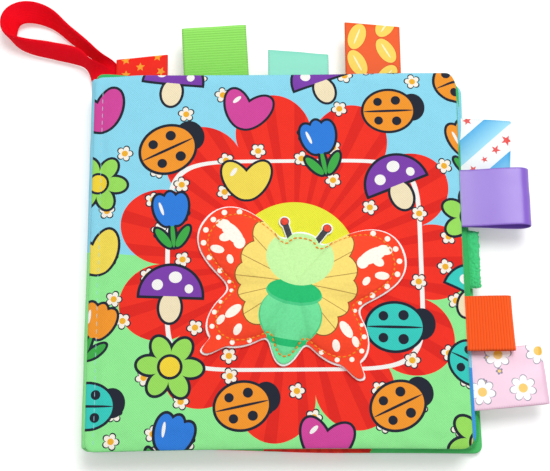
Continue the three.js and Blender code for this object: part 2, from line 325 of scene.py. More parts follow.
def useGroup(group, **values):
    node = treeOf(values.values()).nodes.new("ShaderNodeGroup")
    node.node_tree = group
    for key, value in values.items():
        feed(node.inputs[key], value)
    return node.outputs


def setInputs(node, values):
    for label, value in values.items():
        node.inputs[label].default_value = value


def startMaterial(name, values):
    material = bpy.data.materials.new(name)
    material.use_nodes = True
    shader = material.node_tree.nodes["Principled BSDF"]
    setInputs(shader, values)
    return material, shader


def cameraRay(tree):
    return tree.nodes.new("ShaderNodeLightPath").outputs["Is Camera Ray"]


# camera, light and floor

plainWhite = (1, 1, 1, 1)
shot = {"place": (-3.81 * mm, -131.52 * mm, 539.58 * mm), "lean": 15, "roll": -0.47,
        "lens": 85.44, "sensor": 36, "nearest": 10 * mm}
studio = {"world": 0.56, "key": 10.9, "keyPlace": (0.22, 0.46, 1.3), "keySize": 0.7,
          "floor": 4, "floorDrop": 0.2 * mm, "floorGlow": 0.24, "floorColour": (0.93, 0.93, 0.93, 1),
          "floorRoughness": 0.9, "floorShine": 0.1}


def placeCamera():
    bpy.ops.object.camera_add(location=shot["place"])
    camera = bpy.context.object
    lean = Matrix.Rotation(radians(shot["lean"]), 4, "X")
    roll = turnZ(radians(shot["roll"]))
    camera.rotation_euler = (lean @ roll).to_euler()
    camera.data.sensor_width = shot["sensor"]
    camera.data.lens = shot["lens"]
    camera.data.clip_start = shot["nearest"]
    bpy.context.scene.camera = camera


def lightStudio():
    world = bpy.data.worlds.new("softRoom")
    world.use_nodes = True
    bpy.context.scene.world = world
    background = world.node_tree.nodes["Background"]
    setInputs(background, {"Color": plainWhite})
    glow = timesPlus(cameraRay(world.node_tree), 1 - studio["world"], studio["world"])
    join(glow, background.inputs["Strength"])
    bpy.ops.object.light_add(type="AREA", location=studio["keyPlace"])
    key = bpy.context.object
    key.data.shape = "DISK"
    key.data.size = studio["keySize"]
    key.data.energy = studio["key"]
    key.rotation_euler = (-Vector(studio["keyPlace"])).to_track_quat("-Z", "Y").to_euler()
    bpy.context.scene.view_settings.view_transform = "Standard"


def layFloor():
    deselect()
    bpy.ops.mesh.primitive_plane_add(size=studio["floor"], location=(0, 0, -studio["floorDrop"]))
    floor = named("studio_floor")
    material, shader = startMaterial("paperFloor", {
        "Base Color": studio["floorColour"], "Roughness": studio["floorRoughness"],
        "Specular IOR Level": studio["floorShine"], "Emission Color": plainWhite})
    glow = times(cameraRay(material.node_tree), studio["floorGlow"])
    join(glow, shader.inputs["Emission Strength"])
    floor.data.materials.append(material)


placeCamera()
lightStudio()
layFloor()
print("camera, light and floor ready")


# shared effects

weave = {"pitch": 0.68 * mm, "roughness": 0.82, "sheen": 0.12, "bump": 0.5, "bumpDepth": 0.12 * mm,
         "threadTurn": 1.7, "threadLean": 0.5, "threadRise": 0.3, "shade": 0.96, "shadeDepth": 0.05,
         "mottle": 0.1, "mottleScale": 160}


# the twill's thread height, and its Shade: the grooves between threads painted darker as a painted shade,
# with a random mottle in the tone
def makeTwill():
    tree, given, made = newGroup("twillWeave", {"Vector": "Vector", "Pitch": "Float"},
                                 {"Shade": "Float", "Height": "Float"})
    x, y, z = split(given["Vector"])
    wave = calc("DIVIDE", tau / sqrt(2), given["Pitch"])
    along = times(calc("ADD", calc("ADD", x, y), z), wave)
    across = times(calc("SUBTRACT", x, y), wave)
    lean = times(along, weave["threadLean"])
    thread = calc("SINE", timesPlus(across, weave["threadTurn"], lean))
    height = timesPlus(thread, weave["threadRise"], calc("SINE", along))
    join(height, made["Height"])
    shade = timesPlus(height, weave["shadeDepth"], weave["shade"])
    mottle = calc("SUBTRACT", clouds(given["Vector"], weave["mottleScale"]), 0.5)
    join(timesPlus(mottle, weave["mottle"], shade), made["Shade"])
    return tree


nap = {"detail": 4, "rough": 0.7, "fineScale": 4, "fineRise": 0.6, "shade": 0.72, "shadeDepth": 0.35}


# the pile's height, and its Shade, which paints the low pile darker as a painted shade
def makeFuzz():
    tree, given, made = newGroup("feltFuzz", {"Vector": "Vector", "Scale": "Float"},
                                 {"Shade": "Float", "Height": "Float"})
    coarse = clouds(given["Vector"], given["Scale"], nap["detail"], nap["rough"])
    fine = clouds(given["Vector"], times(given["Scale"], nap["fineScale"]))
    height = timesPlus(fine, nap["fineRise"], coarse)
    join(height, made["Height"])
    join(timesPlus(height, nap["shadeDepth"], nap["shade"]), made["Shade"])
    return tree


# cells with every second column dropped: the place in cells, the cell, its drop and its random numbers
def dropCells(scaled, drop, seed):
    column = calc("FLOOR", split(scaled)[0])
    shift = put("CombineXYZ", 0, times(calc("FLOORED_MODULO", column, 2), drop), 0)
    shifted = vec("ADD", scaled, shift)
    cell = vec("FLOOR", shifted)
    luck = put("TexWhiteNoise", vec("ADD", cell, put("CombineXYZ", 0, 0, seed)))
    return shifted, cell, shift, luck.node.outputs


# the numbers of a small figure; its own dictionary gives those that differ
figureNumbers = {"size": 2 * mm, "points": 5, "depth": 0.5, "petal": 0, "stretch": 1, "line": 0, "core": 0,
                 "slim": 1, "drop": 0.5, "twist": 1, "scatter": 0, "share": 2}
petalRound = 0.6


# a star, flower or oval in each cell, with an outline and a heart
def makeToss():
    numbers = [*[key.title() for key in figureNumbers], "Seed", "Clear Radius"]
    tree, given, made = newGroup(
        "ribbonToss",
        {"Vector": "Vector", "Cell": "Vector", "Ground": "Color", "Colour": "Color", "Outline": "Color",
         "Heart": "Color", "Clear Centre": "Vector", **{name: "Float" for name in numbers}},
        {"Colour": "Color"})
    scaled = vec("DIVIDE", given["Vector"], given["Cell"])
    shifted, cell, _, luck = dropCells(scaled, given["Drop"], given["Seed"])
    moved = scaleBy(flatten(vec("SUBTRACT", luck["Color"], (0.5, 0.5, 0.5))), given["Scatter"])
    middle = vec("SUBTRACT", vec("SUBTRACT", shifted, cell), vec("ADD", moved, (0.5, 0.5, 0)))
    local = vec("MULTIPLY", middle, given["Cell"])
    turn = times(calc("SUBTRACT", luck["Value"], 0.5), given["Twist"])
    x, y, _ = split(turnFlat(local, turn))
    long = calc("DIVIDE", x, given["Stretch"])
    far = vec("LENGTH", put("CombineXYZ", long, y, 0))
    around = calc("ARCTAN2", y, long)
    half = calc("DIVIDE", pi, given["Points"])
    fold = calc("PINGPONG", around, half)
    dent = times(given["Depth"], calc("SINE", calc("SUBTRACT", half, fold)))
    spike = calc("DIVIDE", times(given["Depth"], calc("SINE", half)),
                 calc("ADD", calc("SINE", fold), dent))
    wave = calc("COSINE", times(around, times(given["Points"], 0.5)))
    lobe = timesPlus(calc("POWER", calc("ABSOLUTE", wave), petalRound),
                     calc("SUBTRACT", 1, given["Depth"]), given["Depth"])
    shape = put("Mix", given["Petal"], None, spike, lobe, data_type="FLOAT")
    rim = times(shape, given["Size"])
    outer = lessThan(far, calc("ADD", rim, given["Line"]))
    drawn = over(outer, given["Ground"], given["Outline"])
    drawn = over(lessThan(far, rim), drawn, given["Colour"])
    thin = put("CombineXYZ", long, times(y, given["Slim"]), 0)
    core = lessThan(vec("LENGTH", thin), times(given["Size"], given["Core"]))
    drawn = over(core, drawn, given["Heart"])
    away = vec("DISTANCE", vec("SUBTRACT", given["Vector"], local), given["Clear Centre"])
    shown = times(moreThan(away, given["Clear Radius"]), lessThan(split(luck["Color"])[2], given["Share"]))
    join(over(shown, given["Ground"], drawn), made["Colour"])
    return tree


ink = rgb("1d2433")
white = rgb("fbfaf6")
cream = rgb("f6e7c1")
yolk = rgb("f8d93a")
leafGreen = rgb("3fae49")
motifLine = 0.085

# each motif lies in a square from -1 to 1; "main" takes the cell's own colour
# shapes get an ink line and give centre, size, turn and cut; marks lie on top
motifs = {
    "toadstool": {
        "shapes": [(cream, (0, -0.5), (0.32, 0.46), 0, None),
                   ("main", (0, -0.15), (0.95, 0.95), 0, 0)],
        "marks": [(white, (-0.42, 0.2), (0.17, 0.17)), (white, (0.12, 0.45), (0.2, 0.18)),
                  (white, (0.55, 0.1), (0.13, 0.14))]},
    "ladybird": {
        "shapes": [(ink, (0.62, 0.1), (0.32, 0.38), 0, None),
                   ("main", (-0.15, 0), (0.8, 0.68), 0, None)],
        "marks": [(ink, (-0.15, 0), (0.8, 0.04)), (ink, (-0.48, 0.32), (0.14, 0.14)),
                  (ink, (0.1, 0.35), (0.15, 0.15)), (ink, (-0.48, -0.32), (0.14, 0.14)),
                  (ink, (0.1, -0.35), (0.15, 0.15))]},
    "tulip": {
        "shapes": [(leafGreen, (0, -0.55), (0.07, 0.4), 0, None),
                   (leafGreen, (-0.3, -0.62), (0.13, 0.38), 35, None),
                   (leafGreen, (0.3, -0.62), (0.13, 0.38), -35, None),
                   ("main", (-0.25, 0.28), (0.27, 0.52), 14, None),
                   ("main", (0.25, 0.28), (0.27, 0.52), -14, None),
                   ("main", (0, 0.3), (0.25, 0.56), 0, None)],
        "marks": [(white, (-0.3, 0.34), (0.05, 0.22), 14)]},
    "daisy": {
        "shapes": [("main", atAngle(i * tau / 6, 0.56)[:2], (0.36, 0.25), i * 60, None) for i in range(6)],
        "marks": [(ink, (0, 0), (0.36, 0.36)), (yolk, (0, 0), (0.28, 0.28))]},
    "heart": {
        "shapes": [("main", (-0.29, 0.05), (0.4, 0.72), 32, None),
                   ("main", (0.29, 0.05), (0.4, 0.72), -32, None)],
        "marks": [(white, (-0.42, 0.35), (0.07, 0.17), -35)]},
    "snail": {
        "shapes": [(cream, (-0.1, -0.56), (0.85, 0.2), 0, None),
                   (cream, (-0.74, -0.2), (0.18, 0.44), 12, None),
                   ("main", (0.16, 0.1), (0.64, 0.64), 0, None)],
        "marks": [(ink, (0.2, 0.08), (0.44, 0.44)), ("main", (0.23, 0.06), (0.37, 0.37)),
                  (ink, (0.2, 0.03), (0.2, 0.2)), (white, (0.22, 0.02), (0.13, 0.13))]},
}


def makeMotif(name, motif):
    tree, given, made = newGroup(name + "Motif", {"Vector": "Vector", "Under": "Color", "Main": "Color"},
                                 {"Colour": "Color"})
    colour = given["Under"]
    for _, centre, size, turn, cut in motif["shapes"]:
        lowered = None if cut is None else cut - motifLine
        colour = spot(given["Vector"], colour, ink, centre, [s + motifLine for s in size], turn, lowered)
    for fill, *form in motif["shapes"] + motif["marks"]:
        colour = spot(given["Vector"], colour, given["Main"] if fill == "main" else fill, *form)
    join(colour, made["Colour"])
    return tree


repeat = {"tilt": 0.9, "size": 2.15, "vary": 0.35, "drop": 0.5,
          "palette": ["7e3fae", "36cfc2", "f79a2b", "2d7fe0", "9be15f", "d6479f", "f6de55", "b9a6ea"]}


def paletteRamp(chance):
    ramp = put("ValToRGB", chance).node
    ramp.color_ramp.interpolation = "CONSTANT"
    stops = ramp.color_ramp.elements
    count = len(repeat["palette"])
    while len(stops) < count:
        stops.new(0.5)
    for i, code in enumerate(repeat["palette"]):
        stops[i].position = i / count
        stops[i].color = rgb(code)
    return ramp.outputs[0]


# the motifs in a half-drop repeat: every cell draws its own kind, colour, size and tilt
def makePrint():
    tree, given, made = newGroup(
        "halfDropPrint",
        {"Vector": "Vector", "Ground": "Color", "Cell": "Float", "Seed": "Float",
         "Clear Centre": "Vector", "Clear Radius": "Float", "Keep": "Vector"},
        {"Colour": "Color"})
    scaled = scaleBy(flatten(given["Vector"]), calc("DIVIDE", 1, given["Cell"]))
    shifted, cell, shift, luck = dropCells(scaled, repeat["drop"], given["Seed"])
    middle = vec("ADD", cell, (0.5, 0.5, 0))
    kindShare, tilt, hue = split(luck["Color"])
    turn = timesPlus(tilt, repeat["tilt"], -repeat["tilt"] / 2)
    size = timesPlus(hue, repeat["vary"], repeat["size"])
    local = scaleBy(turnFlat(vec("SUBTRACT", shifted, middle), turn), size)
    main = paletteRamp(luck["Value"])
    kind = calc("FLOOR", times(kindShare, len(motifs)))
    centre = scaleBy(vec("SUBTRACT", middle, shift), given["Cell"])
    far = vec("DISTANCE", centre, given["Clear Centre"])
    x, y, _ = split(vec("SUBTRACT", vec("ABSOLUTE", centre), given["Keep"]))
    inside = lessThan(calc("MAXIMUM", x, y), 0)
    shown = times(moreThan(far, given["Clear Radius"]), inside)
    colour = given["Ground"]
    for i, group in enumerate(motifGroups):
        drawn = useGroup(group, Vector=local, Under=given["Ground"], Main=main)[0]
        mine = times(calc("COMPARE", kind, i, 0.1), shown)  # kinds are whole numbers
        colour = over(mine, colour, drawn)
    join(colour, made["Colour"])
    return tree


twill = makeTwill()
fuzz = makeFuzz()
toss = makeToss()
motifGroups = [makeMotif(name, motif) for name, motif in motifs.items()]
halfDrop = makePrint()


# materials

clothShine = 0.25
sheenRoughness = 0.4


def newMaterial(name, roughness, sheen=0.0, shine=clothShine, coordinate="Object"):
    material, shader = startMaterial(name, {
        "Roughness": roughness, "Specular IOR Level": shine, "Sheen Weight": sheen,
        "Sheen Roughness": sheenRoughness})
    place = material.node_tree.nodes.new("ShaderNodeTexCoord").outputs[coordinate]
    return material, shader, place


def coloured(shader, colour):
    join(colour, shader.inputs["Base Color"])


def bumped(shader, height, look):
    bump = height.id_data.nodes.new("ShaderNodeBump")
    setInputs(bump, {"Strength": look["bump"], "Distance": look["bumpDepth"]})
    join(height, bump.inputs["Height"])
    join(bump.outputs["Normal"], shader.inputs["Normal"])


def clothMaterial(name, paint):
    material, shader, place = newMaterial(name, weave["roughness"], weave["sheen"])
    threads = useGroup(twill, Vector=place, Pitch=weave["pitch"])
    coloured(shader, shaded(paint(place), threads["Shade"]))
    bumped(shader, threads["Height"], weave)
    return material


# plush, felt and velour: without a print, the tips of the pile take the lighter colour and its hollows the
# deep colour, a painted shade; the pile's low places are also painted darker as shade, print or not
def napMaterial(name, look, paint=None):
    material, shader, place = newMaterial(name, look["roughness"], look["sheen"])
    pile = useGroup(fuzz, Vector=place, Scale=look["pile"])
    colour = paint(place) if paint else over(pile["Height"], rgb(look["deep"]), rgb(look["colour"]))
    coloured(shader, shaded(colour, pile["Shade"]))
    bumped(shader, pile["Height"], look)
    return material


thread = {"roughness": 0.6, "sheen": 0.2, "twist": 9000, "shade": 0.25, "shadeDepth": 0.2}


def threadMaterial(name, colour, shadow):
    material, shader, place = newMaterial(name, thread["roughness"], thread["sheen"])
    x, y, _ = split(place)
    twist = sine(calc("ADD", x, y), thread["twist"])
    shade = timesPlus(twist, thread["shadeDepth"], thread["shade"])
    coloured(shader, over(shade, rgb(colour), rgb(shadow)))
    return material


def paintFigures(place, under, figure, seed, clear=(0, 0, 0), clearRadius=-1):
    colours = {key.title(): rgb(figure.get(key, figure["colour"])) for key in ("colour", "outline", "heart")}
    numbers = {key.title(): figure.get(key, usual) for key, usual in figureNumbers.items()}
    values = {"Vector": place, "Cell": (*figure["cell"], 1), "Ground": under, "Seed": seed + 0.5,
              "Clear Centre": clear, "Clear Radius": clearRadius, **colours, **numbers}
    return useGroup(toss, **values)[0]


cover = {"sky": "8fdcf3", "meadow": "94f096", "horizon": 2 * mm, "roll": 3 * mm, "hillWave": 38,
         "red": "f8301f", "deepRed": "d81a17", "rays": 3, "rayFrom": 0.4, "rayShade": 0.6,
         "flower": {"centre": (4 * mm, -4 * mm), "reach": 74 * mm, "petals": 11, "notch": 0.26},
         "lobe": 0.55, "yellow": "eeee3c", "disc": 26 * mm,
         "frame": (52 * mm, 44 * mm), "frameLine": 0.035, "frameCorner": 6,
         "cell": 31 * mm, "seed": 3, "keep": (1, 1, 0),
         "clear": (7 * mm, -10 * mm, 0), "clearRadius": 41 * mm,
         "sprigs": {"colour": "fdf7ea", "cell": (15.5 * mm, 15.5 * mm), "size": 3.1 * mm, "petal": 1,
                    "heart": "f6b52c", "core": 0.42, "line": 0.55 * mm, "outline": "1d2433", "twist": 6,
                    "scatter": 0.5, "share": 0.7}, "sprigSeed": 4}


# sky above and meadow below a rolling line
def hills(place, sky, meadow, line, roll):
    x, y, _ = split(place)
    edge = timesPlus(sine(x, cover["hillWave"]), roll, line)
    return over(lessThan(y, edge), rgb(sky), rgb(meadow))


def rosette(place, under, centre, reach, petals, notch):
    local = flatten(vec("SUBTRACT", place, (*centre, 0)))
    x, y, _ = split(local)
    around = times(calc("ARCTAN2", y, x), petals / 2)
    lobe = calc("POWER", calc("ABSOLUTE", calc("COSINE", around)), cover["lobe"])
    rim = timesPlus(lobe, reach * notch, reach * (1 - notch))
    wave = calc("COSINE", times(around, 2 * cover["rays"]))
    ray = times(moreThan(wave, cover["rayFrom"]), cover["rayShade"])
    petal = over(ray, rgb(cover["red"]), rgb(cover["deepRed"]))
    return over(lessThan(vec("LENGTH", local), rim), under, petal)


# a yellow disc and a rounded frame around it
def framed(place, under):
    local = flatten(vec("SUBTRACT", place, (*cover["flower"]["centre"], 0)))
    colour = over(lessThan(vec("LENGTH", local), cover["disc"]), under, rgb(cover["yellow"]))
    sides = [calc("POWER", calc("ABSOLUTE", calc("DIVIDE", way, half)), cover["frameCorner"])
             for way, half in zip(split(local), cover["frame"])]
    far = calc("POWER", calc("ADD", *sides), 1 / cover["frameCorner"])
    return over(calc("COMPARE", far, 1, cover["frameLine"] / 2), colour, white)


def paintGround(place):
    return hills(place, cover["sky"], cover["meadow"], cover["horizon"], cover["roll"])


def paintCover(place):
    ground = framed(place, rosette(place, paintGround(place), **cover["flower"]))
    ground = paintFigures(flatten(place), ground, cover["sprigs"], cover["sprigSeed"],
                          cover["clear"], cover["clearRadius"])
    values = {"Vector": place, "Ground": ground, "Cell": cover["cell"], "Seed": cover["seed"],
              "Clear Centre": cover["clear"], "Clear Radius": cover["clearRadius"], "Keep": cover["keep"]}
    return useGroup(halfDrop, **values)[0]


page = {"cell": 36 * mm, "keep": (60 * mm, 60 * mm, 0), "roll": 4 * mm}
# each inner page and the back: name of its cloth, sky, meadow, horizon, seed of the print, and a large flower
pages = {
    "front_cover_lining": ("insideFrontPrint", "32bb67", "2fb261", -30 * mm, 11),
    "leaf_1_upper_cloth": ("waterPagePrint", "86d8f5", "3f9ff0", -48 * mm, 21),
    "leaf_1_lower_cloth": ("sunPagePrint", "f8d548", "f2a93a", -40 * mm, 5),
    "leaf_2_upper_cloth": ("grovePagePrint", "3cc06a", "35b45c", -34 * mm, 8),
    "leaf_2_lower_cloth": ("hedgePagePrint", "9bdc7a", "6fbf52", -28 * mm, 14),
    "back_cover_lining": ("insideBackPrint", "8ee0f0", "52cb70", 60 * mm, 17,
                          {"centre": (10 * mm, -60 * mm), "reach": 31 * mm, "petals": 9, "notch": 0.3}),
    "back_cover_cloth": ("backPrint", "46bf6a", "3cb060", -30 * mm, 31,
                         {"centre": (4 * mm, -30 * mm), "reach": 58 * mm, "petals": 9, "notch": 0.3}),
}


def paintPage(sky, meadow, line, seed, flower=None):
    def paint(place):
        ground = hills(place, sky, meadow, line, page["roll"])
        if flower:
            ground = rosette(place, ground, **flower)
        values = {"Vector": place, "Ground": ground, "Cell": page["cell"], "Seed": seed, "Clear Radius": -1,
                  "Keep": page["keep"]}
        return useGroup(halfDrop, **values)[0]
    return paint


coverCloth = clothMaterial("coverPrint", paintCover)
spineCloth = clothMaterial("spineCloth", paintGround)
pageCloth = {node: clothMaterial(name, paintPage(*look)) for node, (name, *look) in pages.items()}
print("cloth prints ready")


# padded panels

pad = {"cells": 76, "thick": 4.6 * mm, "edge": 2.6 * mm, "crownRun": 14 * mm, "drawIn": 0.8 * mm,
       "spineCorner": (3 * mm, 3 * mm), "seamDip": 0.55 * mm, "seamShare": 0.4, "wallBulge": 0.35 * mm,
       "pinch": 0.7 * mm, "pinchAt": 3.5 * mm, "pinchSewn": 1.2 * mm,
       "cornerFrom": 0.6, "tuckEase": 0.12, "lowTuckRun": (0.2, 0.65),
       "lipFrom": 0.8, "lipFade": 6 * mm, "lipLayers": (-0.1, 0.4),
       "cornerX": (-58 * mm, -76 * mm), "cornerY": (60 * mm, 74 * mm), "cornerLayers": (-0.7, -0.2),
       "cornerOut": 0.6,
       "ripple": 0.22 * mm, "rippleSize": (30 * mm, 35 * mm), "rippleSeed": 3.7, "room": 2.45 * mm,
       "fill": 0.45, "pressure": 3, "slack": 0.012, "cap": 0.9 * mm, "sink": 0.3 * mm, "frames": 20}
# what the sewing made of each panel: lowTuck draws the lower edge in at the spine and at the fore-edge,
# foreTuck draws the fore-edge in over a share of its height, and lips are where the upper cloth falls short
panels = [
    {"body": "back_cover", "upper": "back_cover_lining", "lower": "back_cover_cloth",
     "topCorner": (4 * mm, 4 * mm), "lowCorner": (2.6 * mm, 2.6 * mm), "lowTuck": (1.8 * mm, -0.3 * mm),
     "foreTuck": [(1.6 * mm, 0.2, 2)], "lip": 0, "cornerLip": 0, "droop": 0},
    {"body": "leaf_2", "upper": "leaf_2_upper_cloth", "lower": "leaf_2_lower_cloth",
     "topCorner": (5 * mm, 5 * mm), "lowCorner": (5 * mm, 5 * mm), "lowTuck": (1.5 * mm, 1.2 * mm),
     "foreTuck": [(1.7 * mm, 0.2, 2)], "lip": 0, "cornerLip": 0, "droop": 0},
    {"body": "leaf_1", "upper": "leaf_1_upper_cloth", "lower": "leaf_1_lower_cloth",
     "topCorner": (5 * mm, 5 * mm), "lowCorner": (5 * mm, 5 * mm), "lowTuck": (1.5 * mm, 1.5 * mm),
     "foreTuck": [(2.6 * mm, 0.86, 2), (2.4 * mm, -0.38, 0.6)], "lip": 0, "cornerLip": 0, "droop": 0},
    {"body": "front_cover", "upper": "front_cover_cloth", "lower": "front_cover_lining",
     "topCorner": (3.6 * mm, 8 * mm), "lowCorner": (5 * mm, 2.6 * mm), "lowTuck": (0, 0),
     "foreTuck": [], "lip": 0.5 * mm, "cornerLip": 2.8 * mm, "droop": 1 * mm},
]


def panelSizes(panel):
    low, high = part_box(panel["upper"])
    under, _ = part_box(panel["lower"])
    return {"spine": low.x, "fore": high.x, "half": high.y, "middle": (under.z + high.z) / 2}


def roundCorner(x, y, edge, half, radii):
    side = 1 if edge > 0 else -1
    a = 1 - (side * edge - side * x) / radii[0]
    b = 1 - (half - abs(y)) / radii[1]
    if a <= 0 or b <= 0:
        return x, y
    inX = radii[0] * (1 - a * sqrt(1 - b * b / 2))
    inY = radii[1] * (1 - b * sqrt(1 - a * a / 2))
    return edge - side * inX, copysign(half - inY, y)


def sewnPlace(x, y, size, panel):
    edge, radii = size["spine"], pad["spineCorner"]
    if x > 0:
        edge, radii = size["fore"], panel["topCorner" if y > 0 else "lowCorner"]
    x, y = roundCorner(x, y, edge, size["half"], radii)
    across = (x - size["spine"]) / (size["fore"] - size["spine"])
    along = y / size["half"]
    atSpine, atFore = panel["lowTuck"]
    ease = pad["tuckEase"]
    x -= pad["drawIn"] * across * across * (1 - along * along)
    for depth, low, high in panel["foreTuck"]:
        near = smooth(low - ease, low + ease, along) * smooth(high + ease, high - ease, along)
        x -= depth * smooth(pad["cornerFrom"], 1, across) * near
    y -= pad["drawIn"] * along * 4 * across * (1 - across)
    tuck = atSpine + (atFore - atSpine) * smooth(*pad["lowTuckRun"], across)
    return x, y + smooth(pad["cornerFrom"], 1, -along) * tuck


def halfThick(x, y, size):
    inset = min(x - size["spine"], size["fore"] - x, size["half"] - abs(y))
    lift = 1 - min(max(inset, 0) / pad["crownRun"], 1)
    crown = (pad["thick"] - pad["edge"]) / 2 * sqrt(1 - lift * lift)
    pinch = pad["pinch"] * max(0, 1 - abs(x - size["spine"] - pad["pinchAt"]) / pad["pinchAt"])
    return pad["edge"] / 2 + crown - min(pinch, crown)


# how far a layer is set back at the fore-edge and the upper spine corner, where the lower cloth shows
def lipAt(x, y, layer, size, panel):
    inset = min(size["fore"] - x, size["half"] - abs(y))
    fade = 1 - smooth(0, pad["lipFade"], inset)
    fore = panel["lip"] * smooth(pad["lipFrom"], 1, x / size["fore"])
    corner = panel["cornerLip"] * smooth(*pad["cornerX"], x) * smooth(*pad["cornerY"], y)
    step = Vector((smooth(*pad["lipLayers"], layer), smooth(*pad["cornerLayers"], layer) - pad["cornerOut"]))
    return Vector((fore, corner)) * fade * step


def shapePanel(piece, size, panel):
    sewn = []
    for vertex in piece.data.vertices:
        u, w, layer = vertex.co
        x = size["spine"] + (u + 1) / 2 * (size["fore"] - size["spine"])
        y = w * size["half"]
        place = Vector(sewnPlace(x, y, size, panel)) - lipAt(x, y, layer, size, panel)
        if abs(layer) > onEdge:
            z = copysign(halfThick(x, y, size), layer)
        else:
            z = layer * pad["edge"] / 2
            out = Vector((u if abs(u) > onEdge else 0, w if abs(w) > onEdge else 0)).normalized()
            bulge = pad["wallBulge"] * (1 - layer * layer)
            place += out * (bulge - pad["seamDip"] * max(0, 1 - abs(layer) / pad["seamShare"]))
        z -= panel["droop"] * smooth(pad["cornerFrom"], 1, u) * smooth(pad["cornerFrom"], 1, w)
        vertex.co = (*place, size["middle"] + z)
        if max(abs(u), abs(w)) > onEdge or abs(x - size["spine"] - pad["pinchAt"]) < pad["pinchSewn"]:
            sewn.append(vertex.index)
    piece.vertex_groups.new(name="sewn").add(sewn, 1, "REPLACE")


clothRun = {"quality": 6, "mass": 0.0006, "tension_stiffness": 6, "compression_stiffness": 6,
            "shear_stiffness": 3, "bending_stiffness": 0.02, "vertex_group_mass": "sewn",
            "use_pressure": True}


# the cloth is cut a little larger than the sewn pad and puffed by its filling, which keeps it from sinking
def puff(piece, look):
    piece.data.update()
    before = [(vertex.co.copy(), vertex.normal.copy()) for vertex in piece.data.vertices]
    cloth = piece.modifiers.new("Cloth", "CLOTH")
    for key, value in clothRun.items():
        setattr(cloth.settings, key, value)
    cloth.settings.uniform_pressure_force = look["pressure"]
    cloth.settings.shrink_min = -look["slack"]
    cloth.settings.effector_weights.gravity = 0
    cloth.collision_settings.use_collision = False
    cloth.point_cache.frame_start, cloth.point_cache.frame_end = 1, look["frames"]
    for step in range(1, look["frames"] + 1):
        bpy.context.scene.frame_set(step)
    pick(piece)
    bpy.ops.object.modifier_apply(modifier="Cloth")
    bpy.context.scene.frame_set(1)
    for vertex, (start, normal) in zip(piece.data.vertices, before):
        move = vertex.co - start
        move -= normal * min(0, move.dot(normal) + look["sink"])
        if move.length > look["cap"]:
            move *= look["cap"] / move.length
        vertex.co = start + move


def settlePanel(piece, size, seed):
    wide, tall = pad["rippleSize"]
    low, high = size["middle"] - pad["room"], size["middle"] + pad["room"]
    for vertex in piece.data.vertices:
        x, y, z = vertex.co
        z += pad["ripple"] * noise.noise(Vector((x / wide, y / tall, seed)))
        vertex.co.z = min(max(z, low), high)


def makePanel(panel, index):
    size = panelSizes(panel)
    piece = newGrid(panel["body"] + "_pad", pad["cells"], pad["cells"])
    closeToPad(piece)
    shapePanel(piece, size, panel)
    puff(piece, pad)
    settlePanel(piece, size, pad["rippleSeed"] * index)
    refine(piece)
    dress(piece, panel["upper"], pageCloth.get(panel["upper"], coverCloth), pageCloth[panel["lower"]])
    for face in piece.data.polygons:
        face.material_index = 0 if face.center.z > size["middle"] else 1
    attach(piece, panel["body"])
    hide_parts(panel["upper"], panel["lower"])
    print("panel", piece.name, "sewn")


seamRow = {"step": 3.2 * mm, "long": 2.3 * mm, "thread": 0.14 * mm, "ends": 3.5 * mm, "sink": 0.03 * mm,
           "above": 10 * mm, "colours": ("a8dce4", "86bfc8")}


def stitchSpine(panel):
    bpy.context.view_layer.update()
    size = panelSizes(panel)
    piece = bpy.data.objects[panel["body"] + "_pad"]
    stitch = Matrix.Diagonal((seamRow["thread"], seamRow["long"] / 2, seamRow["thread"], 1))
    x, half = size["spine"] + pad["pinchAt"], size["half"] - seamRow["ends"]
    places = []
    for step in range(int(2 * half / seamRow["step"]) + 1):
        above = Vector((x, step * seamRow["step"] - half, size["middle"] + seamRow["above"]))
        _, hit, _, _ = piece.ray_cast(above, Vector((0, 0, -1)))
        places.append(Matrix.Translation(hit - Vector((0, 0, seamRow["sink"]))) @ stitch)
    paleThread = threadMaterial("paleThread", *seamRow["colours"])
    makeStitches("spine_stitches", places, panel["upper"], paleThread, panel["body"])


for index, panel in enumerate(panels):
    makePanel(panel, index)
stitchSpine(panels[-1])


# spine cloth between neighbouring panels
spine = {"tuck": 2.6 * mm, "bulge": 1.5 * mm, "round": 0.6, "turn": 0.2, "cloth": 0.7 * mm,
         "rows": 18, "columns": 90, "hold": 1.1 * mm, "short": 1.5 * mm,
         "ripple": 0.25 * mm, "rippleSize": 12 * mm, "rippleAcross": 1.5, "rippleSeeds": (1000, 900)}


def makeSpineBand(lower, upper, node):
    below, above = panelSizes(lower), panelSizes(upper)
    edge = below["spine"]
    rise = above["middle"] - below["middle"]
    seed = rise * spine["rippleSeeds"][0] + below["middle"] * spine["rippleSeeds"][1]
    turn = spine["turn"]
    piece = newGrid(node.replace("fold", "band"), spine["columns"], spine["rows"])
    for vertex in piece.data.vertices:
        along, share = vertex.co.x, (vertex.co.y + 1) / 2
        y = along * (below["half"] - spine["short"])
        arc = smooth(turn, 1 - turn, share)
        tuck = spine["tuck"] * (1 - smooth(0, turn, share) + smooth(1 - turn, 1, share))
        wave = noise.noise(Vector((y / spine["rippleSize"], share * spine["rippleAcross"], seed)))
        x = edge + tuck - spine["bulge"] * sin(pi * arc) ** spine["round"] + spine["ripple"] * wave
        vertex.co = (x, y, below["middle"] + rise * arc)
    addModifier(piece, "SOLIDIFY", thickness=spine["cloth"], offset=0)
    refine(piece)
    dress(piece, "spine_cloth", spineCloth)
    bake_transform(piece)
    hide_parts(node)


for index, (lower, upper) in enumerate(zip(panels, panels[1:]), 1):
    makeSpineBand(lower, upper, "spine_fold_%d" % index)
print("spine cloth sewn between the panels")


